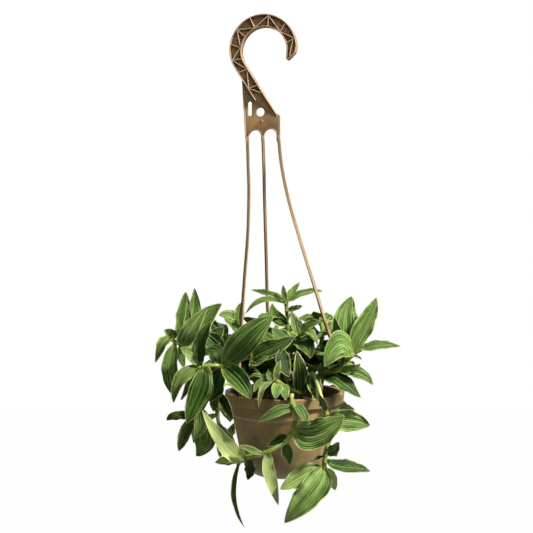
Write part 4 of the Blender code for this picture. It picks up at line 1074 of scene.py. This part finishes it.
        (1.3, (14, 58, -428), (-2, 52, -418), 22, FRONT_UP, 0.2),
        (1.6, (54, 74, -426), (68, 80, -418), 25, BACK_UP, 0.4),
        (2.4, (16, 104, -450), (0, 114, -464), 25, BACK_UP, 0.3),
        (3.4, (60, 100, -480), (76, 100, -500), 28, BACK, 0.6),
        (4.2, (12, 102, -510), (2, 104, -534), 27, BACK, 0.2),
        (5.0, (44, 100, -544), (50, 98, -572), 25, BACK, 0.8),
        (5.0, (24, 98, -546), (18, 97, -566), 18, BACK, 0.4),
    ))],
    "stem_back_right": [(2.6, (
        (60, 42), (76, 58, -450), (92, 68, -452), (99, 76, -472), (101, 79, -496),
    ), (
        (1.4, (92, 74, -428), (112, 84, -426), 25, RIGHT_BACK, 0.4),
        (2.2, (112, 60, -446), (130, 62, -458), 23, RIGHT_UP, 0.6),
        (3.2, (96, 92, -486), (88, 98, -510), 27, BACK, 0.2),
        (4.0, (112, 78, -510), (117, 80, -530), 25, RIGHT_BACK, 0.5),
        (4.0, (96, 86, -520), (88, 88, -544), 20, BACK, 0.7),
    ))],
    "stem_back_upright": [(2.2, (
        (14, 30), (12, 36, -430), (8, 40, -400),
    ), (
        (1.2, (28, 44, -402), (44, 46, -386), 27, FRONT_UP, 0.2),
        (2.0, (-11, 50, -386), (-30, 60, -378), 18, LEFT_BACK, 0.4),
        (1.6, (-8, 46, -402), (-30, 46, -398), 25, LEFT_UP, 0.3),
        (2.0, (26, 70, -382), (34, 88, -380), 24, BACK_UP, 0.5),
        (1.12, (-8, 40, -448), (-32, 44, -450), 28, FRONT, 0.05),
        (1.3, (-2, 42, -424), (-18, 44, -406), 28, FRONT, 0.1),
        (1.2, (24, 40, -436), (36, 42, -418), 26, FRONT, 0.05),
    ))],
}


def place_on(route, place):
    """The point of a smooth route at a place counted in route points."""
    for (start, a), (end, b) in zip(route, route[1:]):
        if place <= end:
            return a.lerp(b, (place - start) / (end - start))
    return route[-1][1]


class Shell:
    """The points, faces and painted values of one leafy stem as it grows.

    The blade values are the places across and along a blade and the distance from its margin, or the
    places round and along a stem and the distance from the nearest joint. The leaf values are how pale the
    blade or stem is, its own random share, and how far it counts as the back of a leaf."""

    def __init__(self):
        self.points = []
        self.faces = []
        self.skins = []
        self.blade = []
        self.leaf = []

    def add(self, rows, skin, blade, leaf):
        """Rows of points, each a closed ring, with painted values for each point and for the whole."""
        first = sum(len(part) for part in self.points)
        count, columns = rows.shape[:2]
        faces = loop_faces(count, columns, first)
        self.points.append(rows.reshape(-1, 3))
        self.faces += faces
        self.skins += [skin] * len(faces)
        self.blade.append(blade.reshape(-1, 3))
        self.leaf.append(np.broadcast_to(leaf, (count, columns, 3)).reshape(-1, 3))


def smooth_share(values):
    """Shares from 0 to 1 that start and end without a corner."""
    values = np.clip(values, 0.0, 1.0)
    return values * values * (3 - 2 * values)


def ring_at(spot, size, sides):
    """A ring of points round a spot: a point, with the two directions across the route there."""
    point, across, other = (np.array(part) for part in spot)
    return point + (np.cos(sides)[:, None] * across + np.sin(sides)[:, None] * other) * size


def stem_tube(shell, route, radius, joints, rng):
    """The stem: rings round its route, a little thicker at each joint, and a pale sleeve below each leaf."""
    points = [point for _, point in route]
    across = Vector((0.0, 1.0, 0.0))
    lengths = np.concatenate([[0.0], np.cumsum([(b - a).length for a, b in zip(points, points[1:])])])
    places = np.array([place for place, _ in route])
    joint_lengths = np.interp(joints, places, lengths)
    sides = np.arange(STEM_SIDES) * 2 * pi / STEM_SIDES
    spots = []
    radii = []
    for i, point in enumerate(points):
        along = (points[min(i + 1, len(points) - 1)] - points[max(i - 1, 0)]).normalized()
        across = (across - along * across.dot(along)).normalized()
        spots.append((point, across.copy(), along.cross(across)))
        swelling = max(exp(-((lengths[i] - at) / JOINT_LENGTH) ** 2) for at in joint_lengths)
        taper = radius * (1.0 - STEM_TAPER * i / (len(points) - 1))
        radii.append(taper * (STEM_WAIST + JOINT_SWELLING * swelling))
    rows = np.array([ring_at(spot, size, sides) for spot, size in zip(spots, radii)])
    to_joints = np.min(np.abs(lengths[:, None] - joint_lengths[None, :]), axis=1)
    blade = np.empty(rows.shape)
    blade[..., 0] = np.cos(sides)[None, :]
    blade[..., 1] = lengths[:, None] / 100.0
    blade[..., 2] = np.clip(to_joints, 0, SHEATH_LENGTH)[:, None]
    shell.add(rows, STEM_SKIN, blade, (STEM_TONE, rng.random(), 0.0))
    for at in joint_lengths:
        sleeve(shell, spots, radii, lengths, at, sides, rng)


def sleeve(shell, spots, radii, lengths, at, sides, rng):
    """The closed sheath of a leaf: a thin sleeve on the stem that widens up to where the blade leaves it.

    It is painted as the pale base of a blade."""
    rows = []
    values = []
    for share, proud in SHEATH_PROFILE:
        where = min(max(at + share * SHEATH_LENGTH, 0.0), lengths[-1])
        i = min(int(np.searchsorted(lengths, where)), len(spots) - 1)
        j = max(i - 1, 0)
        span = lengths[i] - lengths[j]
        mix = (where - lengths[j]) / span if span > 0 else 0.0
        point = spots[j][0].lerp(spots[i][0], mix)
        rows.append(ring_at((point, *spots[i][1:]), radii[i] + proud, sides))
        along = np.full(len(sides), 0.02 - 0.02 * share)
        values.append(np.stack([np.cos(sides), along, np.full(len(sides), SHEATH_EDGE)], 1))
    shell.add(np.array(rows), LEAF_SKIN, np.array(values), (STEM_TONE, rng.random(), 0.3))


def blade_width(t):
    """The share of the full width at t along a lance-shaped blade with a broad base."""
    return np.sin(pi * np.clip(t, 0.0, 1.0) ** 0.78) ** 0.75


def blade_spine(base, middle, tip, face, twist, shares):
    """Points on the arched middle line of a blade, and the directions across it and out of its face."""
    control = middle * 2 - (base + tip) / 2
    straight = (tip - base).normalized()
    across_middle = Vector(face).cross(straight).normalized()
    out_middle = straight.cross(across_middle)
    spine = np.empty((3, len(shares), 3))
    for i, share in enumerate(shares):
        spine[0, i] = base * (1 - share) ** 2 + control * 2 * share * (1 - share) + tip * share * share
        along = ((control - base) * (1 - share) + (tip - control) * share).normalized()
        turn = straight.rotation_difference(along)
        turn = Matrix.Rotation(twist * (share - 0.3), 3, along) @ turn.to_matrix()
        spine[1, i] = turn @ across_middle
        spine[2, i] = turn @ out_middle
    return spine


def blade(shell, base, middle, tip, width, face, tone, clasp, rng):
    """A ribbed and waved blade on an arch from the stem to its tip, curled round the stem at its base."""
    columns = BLADE_COLUMNS if width > NARROW_BLADE else NARROW_COLUMNS
    t = np.linspace(0.0, 1.0, BLADE_ROWS)
    x = np.linspace(-1.0, 1.0, columns)
    twist = rng.uniform(-BLADE_TWIST, BLADE_TWIST)
    centre, across, out = blade_spine(base, middle, tip, face, twist, t)

    # Half the width along the blade: a lance shape with ragged margins, wide enough at its base to clasp. At
    # its base and tip, where body is 0, it is neither ragged nor waved nor pleated.
    start = 1.0 - smooth_share(t / CLASP_SHARE)
    body = np.sin(pi * t ** 0.8) ** 0.7
    half = np.maximum(width / 2 * blade_width(t), clasp * CLASP_WIDTH * start)
    half = np.maximum(half, LEAST_HALF_WIDTH)
    nicks = [rng.uniform(-1.0, 1.0) for _ in range(4)]
    ragged = sum(nicks[k] * np.sin((k * 2 + 3) * pi * t + k) for k in range(4)) * RAGGEDNESS
    half = half * (1 + ragged * body)

    # The curve across the blade, with waves towards its margins and pleats along it
    curl = rng.uniform(*BLADE_CURL) * (1 - 0.3 * t) + start * CLASP_CURL
    angle = x[None, :] * curl[:, None] / 2
    bend = half / (curl / 2)
    sideways = bend[:, None] * np.sin(angle)
    rise = bend[:, None] * (1 - np.cos(angle))
    waves = rng.uniform(*WAVE_DEPTH) * width
    for side in (-1, 1):
        beat = rng.uniform(*WAVE_BEATS)
        phase = rng.uniform(0, 2 * pi)
        edge = np.clip(x * side, 0, 1) ** 2.2
        ruffle = np.sin(2 * pi * beat * t + phase) + 0.3 * np.sin(2 * pi * beat * 2.7 * t + phase * 2)
        rise += waves * edge[None, :] * (ruffle * body)[:, None]
    groove = np.exp(-(x / MIDRIB_WIDTH) ** 2)
    pleats = PLEAT_DEPTH * width * np.cos(x * pi * PLEATS + phase) - MIDRIB_DEPTH * width * groove
    if tone > PLAIN_TONE:
        pleats = pleats * PLAIN_PLEATS
    rise += pleats[None, :] * body[:, None]
    length = (middle - base).length + (tip - middle).length
    sway = rng.uniform(-BLADE_SWAY, BLADE_SWAY) * length * np.sin(2 * pi * t) * smooth_share(t / 0.2)
    sideways = sideways + sway[:, None]

    # The upper face, and the lower one at the blade's thickness below it, thinner towards the margins
    upper = centre[:, None] + across[:, None] * sideways[..., None] + out[:, None] * rise[..., None]
    thick = BLADE_THICKNESS * (1 - 0.5 * x ** 2)[None, :] * np.minimum(1.0, half / 2.0)[:, None]
    normal = out[:, None] * np.cos(angle)[..., None] - across[:, None] * np.sin(angle)[..., None]
    lower = upper - normal * thick[..., None]
    rows = np.concatenate([upper, lower[:, ::-1]], axis=1)

    values = np.empty((BLADE_ROWS, columns, 3))
    values[..., 0] = x[None, :]
    values[..., 1] = t[:, None]
    values[..., 2] = half[:, None] * (1 - np.abs(x))[None, :]
    painted = np.concatenate([values, values[:, ::-1]], axis=1)
    leaf = np.empty((BLADE_ROWS, columns * 2, 3))
    leaf[..., 0] = tone
    leaf[..., 1] = rng.random()
    leaf[..., 2] = (np.arange(columns * 2) >= columns)[None, :]
    shell.add(rows, LEAF_SKIN, painted, leaf)


def painted_values(tree, name):
    """The three values that the mesh holds under a name."""
    values = put(tree, "Attribute", attribute_name=name).outputs["Vector"]
    return put(tree, "SeparateXYZ", {0: values}).outputs


def leaf_finish():
    """Striped leaf skin: green and cream bands that run with the ribs, a cream margin and a paler back."""
    finish, tree, shader = finish_of("striped_leaf_skin")
    across, along, edge = painted_values(tree, "blade")
    tone, chance, under = painted_values(tree, "leaf")
    lane = plus(tree, across, times(tree, chance, 41.0))
    drift = times(tree, along, 1.3)
    where = put(tree, "CombineXYZ", {0: lane, 1: drift, 2: times(tree, chance, 17.0)}).outputs[0]
    broad = clouds(tree, stretched(tree, where, (5.5, 0.8, 1.0)), 1.0, 2.0)
    narrow = clouds(tree, stretched(tree, where, (17.0, 1.0, 1.0)), 1.0, 2.0, 0.6)
    hair = clouds(tree, stretched(tree, where, (50.0, 1.4, 1.0)), 1.0, 1.0)
    gaps = clouds(tree, stretched(tree, where, (1.5, 9.0, 1.0)), 1.0, 2.0)
    blotch = clouds(tree, put(tree, "TexCoord").outputs["Object"], 60.0, 3.0)

    # Broad and narrow stripes and hairlines of cream, which spread on the paler blades. The palest are
    # nearly plain.
    paler = times(tree, reckon(tree, "SUBTRACT", tone, 0.3), 0.11)
    banding = plus(tree, times(tree, broad, 0.45), times(tree, narrow, 0.55))
    stripes = mask(tree, plus(tree, banding, paler), 0.51, 0.6)
    hairlines = mask(tree, plus(tree, hair, paler), 0.52, 0.66)
    striped = mask(tree, tone, 0.98, 0.82)
    green = blend(tree, tone, DARK_GREEN, LIGHT_GREEN)
    green = layer(tree, green, BLOTCH_GREEN, mask(tree, blotch, 0.4, 0.7), 0.35)
    cream = blend(tree, tone, DULL_CREAM, BRIGHT_CREAM)
    colour = layer(tree, green, cream, times(tree, hairlines, 0.62), striped)
    colour = layer(tree, colour, cream, reckon(tree, "SUBTRACT", 1.0, striped), 0.75)
    strength = times(tree, reckon(tree, "MULTIPLY_ADD", tone, -0.2, 0.68), striped)
    colour = layer(tree, colour, cream, stripes, strength)

    # A pale midrib on some blades, a broken cream margin, and a pale base and back
    midrib = mask(tree, reckon(tree, "ABSOLUTE", across), 0.06, 0.015)
    midrib = times(tree, midrib, mask(tree, chance, 0.3, 0.8))
    colour = layer(tree, colour, MIDRIB_CREAM, midrib, 0.5)
    margin = mask(tree, plus(tree, edge, times(tree, gaps, 1.6)), 2.1, 1.4)
    lining = reckon(tree, "MULTIPLY_ADD", chance, 0.45, 0.42)
    colour = layer(tree, colour, MARGIN_CREAM, margin, lining)
    colour = layer(tree, colour, BASE_GREEN, mask(tree, along, 0.16, 0.02), 0.75)
    colour = layer(tree, colour, BACK_GREEN, under, 0.4)

    ribs = reckon(tree, "SINE", plus(tree, times(tree, across, 36.0), times(tree, narrow, 5.0)))
    height = plus(tree, times(tree, ribs, 0.5), times(tree, hair, 0.8))
    height = times(tree, height, reckon(tree, "MAXIMUM", striped, 0.3))
    rough = plus(tree, times(tree, blotch, 0.2), times(tree, stripes, 0.06))
    dress(tree, shader, colour, plus(tree, rough, 0.34), height, 0.0004)
    shader.inputs["Specular IOR Level"].default_value = 0.26
    shader.inputs["Subsurface Weight"].default_value = 0.2
    shader.inputs["Subsurface Radius"].default_value = (0.5, 1.0, 0.25)
    shader.inputs["Subsurface Scale"].default_value = 0.0008
    return finish


def stem_finish():
    """Juicy stem skin: pale yellow green with darker lengthwise streaks and a darker ring at each joint."""
    finish, tree, shader = finish_of("stem_skin")
    around, along, joint = painted_values(tree, "blade")
    chance = painted_values(tree, "leaf")[1]
    where = put(tree, "TexCoord").outputs["Object"]
    lane = put(tree, "CombineXYZ", {0: around, 1: along, 2: chance}).outputs[0]
    streaks = clouds(tree, stretched(tree, lane, (5.0, 3.0, 9.0)), 1.0, 3.0)
    flecks = clouds(tree, where, 700.0, 2.0)
    patches = clouds(tree, where, 45.0, 3.0)
    colour = blend(tree, mask(tree, patches, 0.35, 0.7), STEM_GREEN, STEM_CREAM)
    colour = layer(tree, colour, STREAK_GREEN, mask(tree, streaks, 0.5, 0.68), 0.55)
    colour = layer(tree, colour, FLECK_CREAM, mask(tree, flecks, 0.62, 0.72), 0.3)
    colour = layer(tree, colour, JOINT_GREEN, mask(tree, joint, 1.2, 0.2), 0.4)
    rough = plus(tree, times(tree, patches, 0.2), 0.32)
    height = plus(tree, streaks, times(tree, flecks, 0.2))
    dress(tree, shader, colour, rough, height, 0.0003)
    shader.inputs["Subsurface Weight"].default_value = 0.25
    shader.inputs["Subsurface Radius"].default_value = (0.8, 1.0, 0.3)
    shader.inputs["Subsurface Scale"].default_value = 0.002
    return finish


skins = [leaf_finish(), stem_finish()]


def grow(name, branches, seed):
    """One leafy stem with its side branches, in the place of its plain solid."""
    rng = Random(seed)
    shell = Shell()
    main_route = None
    for radius, route, leaves in branches:
        if main_route is None:
            heights = (SOIL_STEM_TOP - ROOT_DEPTH, SOIL_STEM_TOP + SOIL_CROWN + ROOT_RISE)
            points = [(*route[0], height) for height in heights] + list(route[1:])
            shift = 1
        else:
            points = [place_on(main_route, route[0]), *route[1:]]
            shift = 0
        smooth = smooth_route(points, STEM_STEP)
        main_route = main_route or smooth
        places = [leaf[0] + shift - BASE_STAGGER * number for number, leaf in enumerate(leaves)]
        stem_tube(shell, smooth, radius, places, rng)
        for at, (_, middle, tip, width, face, tone) in zip(places, leaves):
            base = place_on(smooth, at)
            clasp = radius * (1 - STEM_TAPER * (at / smooth[-1][0])) + CLASP_GAP
            blade(shell, base, Vector(middle), Vector(tip), width, face, tone, clasp, rng)
    points = np.concatenate(shell.points).tolist()
    stem = mesh_piece(name, points, shell.faces, skins, LEAF_HARD_EDGE)
    stem.data.polygons.foreach_set("material_index", shell.skins)
    for attribute, parts in (("blade", shell.blade), ("leaf", shell.leaf)):
        values = np.concatenate(parts).astype(np.float32).ravel()
        stem.data.attributes.new(attribute, "FLOAT_VECTOR", "POINT").data.foreach_set("vector", values)
    return stem


for seed, (node, branches) in enumerate(STEMS.items(), STEM_SEED):
    plant = grow("leafy_" + node, branches, seed)
    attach(plant, "root")
    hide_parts(node)


# The studio: a pale plain floor well below the hanging plant, and the camera at the photographer's height
# and distance. A small strong key light stands high on the right and a broad one behind the plant. Two
# weak ones in front soften the shadows on the pot and in the hook.
FLOOR_Z = -1500.0
FLOOR_SIZE = 12000.0
# How far the paper glows towards white for the camera, as an over-lit studio floor does
FLOOR_GLOW = 0.99
# How strongly the white room lights the object, where the camera sees it at 1
ROOM_LIGHT = 0.055
# The camera's place and aim in metres, and its lens and sensor in millimetres
CAMERA_PLACE = (0.0025, -1.4, -0.262)
CAMERA_AIM = (0.0025, 0.0, -0.3067)
CAMERA_LENS = 73.3
CAMERA_SENSOR = 36.0
# Name, place and aim in metres, width in metres, power in watts and colour
LIGHTS = (
    ("key_light", (1.3, -0.68, 0.98), (0.03, 0.0, -0.3), 0.3, 80.0, (1.0, 0.97, 0.91)),
    ("fill_light", (0.5, -1.3, 1.2), (0.0, 0.0, -0.38), 1.2, 1.0, (1.0, 0.99, 0.95)),
    ("hook_light", (0.3, -0.75, 0.4), (-0.01, 0.0, -0.06), 0.35, 1.8, (1.0, 0.98, 0.94)),
    ("back_light", (-0.7, 1.6, 0.7), (0.0, 0.0, -0.3), 1.0, 16.0, (0.97, 0.98, 1.0)),
)


def floor_finish():
    """Pale matt studio paper with a barely seen mottle."""
    finish, tree, shader = finish_of("studio_paper")
    where = put(tree, "TexCoord").outputs["Object"]
    mottle = clouds(tree, where, 1.5, 3.0)
    colour = blend(tree, mottle, paint(214, 214, 213), paint(220, 220, 219))
    rough = plus(tree, times(tree, mottle, 0.1), 0.85)
    dress(tree, shader, colour, rough, clouds(tree, where, 90.0, 2.0), 0.0002)
    glow = put(tree, "Emission", {"Color": (1.0, 1.0, 1.0, 1.0), "Strength": 1.0})
    share = times(tree, put(tree, "LightPath").outputs["Is Camera Ray"], FLOOR_GLOW)
    mixed = put(tree, "MixShader", {0: share, 1: shader.outputs[0], 2: glow.outputs[0]})
    tree.links.new(mixed.outputs[0], tree.nodes["Material Output"].inputs["Surface"])
    return finish


half = FLOOR_SIZE / 2
corners = [(-half, -half, FLOOR_Z), (half, -half, FLOOR_Z), (half, half, FLOOR_Z), (-half, half, FLOOR_Z)]
floor = mesh_piece("studio_floor", corners, [(0, 1, 2, 3)], [floor_finish()])


def aimed(name, data, place, aim):
    """A lamp or camera at a place, turned so that it looks at its aim."""
    thing = placed(name, data)
    thing.location = place
    thing.rotation_euler = (Vector(aim) - Vector(place)).to_track_quat("-Z", "Y").to_euler()
    return thing


for name, place, aim, width, power, colour in LIGHTS:
    lamp = bpy.data.lights.new(name, "AREA")
    lamp.shape = "DISK"
    lamp.size = width
    lamp.energy = power
    lamp.color = colour
    aimed(name, lamp, place, aim)

world = bpy.data.worlds.new("studio_room")
world.use_nodes = True
sky = world.node_tree
room = sky.nodes["Background"]
room.inputs["Color"].default_value = (1.0, 1.0, 1.0, 1.0)
seen = put(sky, "LightPath").outputs["Is Camera Ray"]
strength = put(sky, "MapRange", {"Value": seen, "To Min": ROOM_LIGHT, "To Max": 1.0}).outputs["Result"]
sky.links.new(strength, room.inputs["Strength"])
bpy.context.scene.world = world
bpy.context.scene.view_settings.view_transform = "Standard"

lens = bpy.data.cameras.new("photographer")
lens.lens = CAMERA_LENS
lens.sensor_width = CAMERA_SENSOR
bpy.context.scene.camera = aimed("photographer", lens, CAMERA_PLACE, CAMERA_AIM)
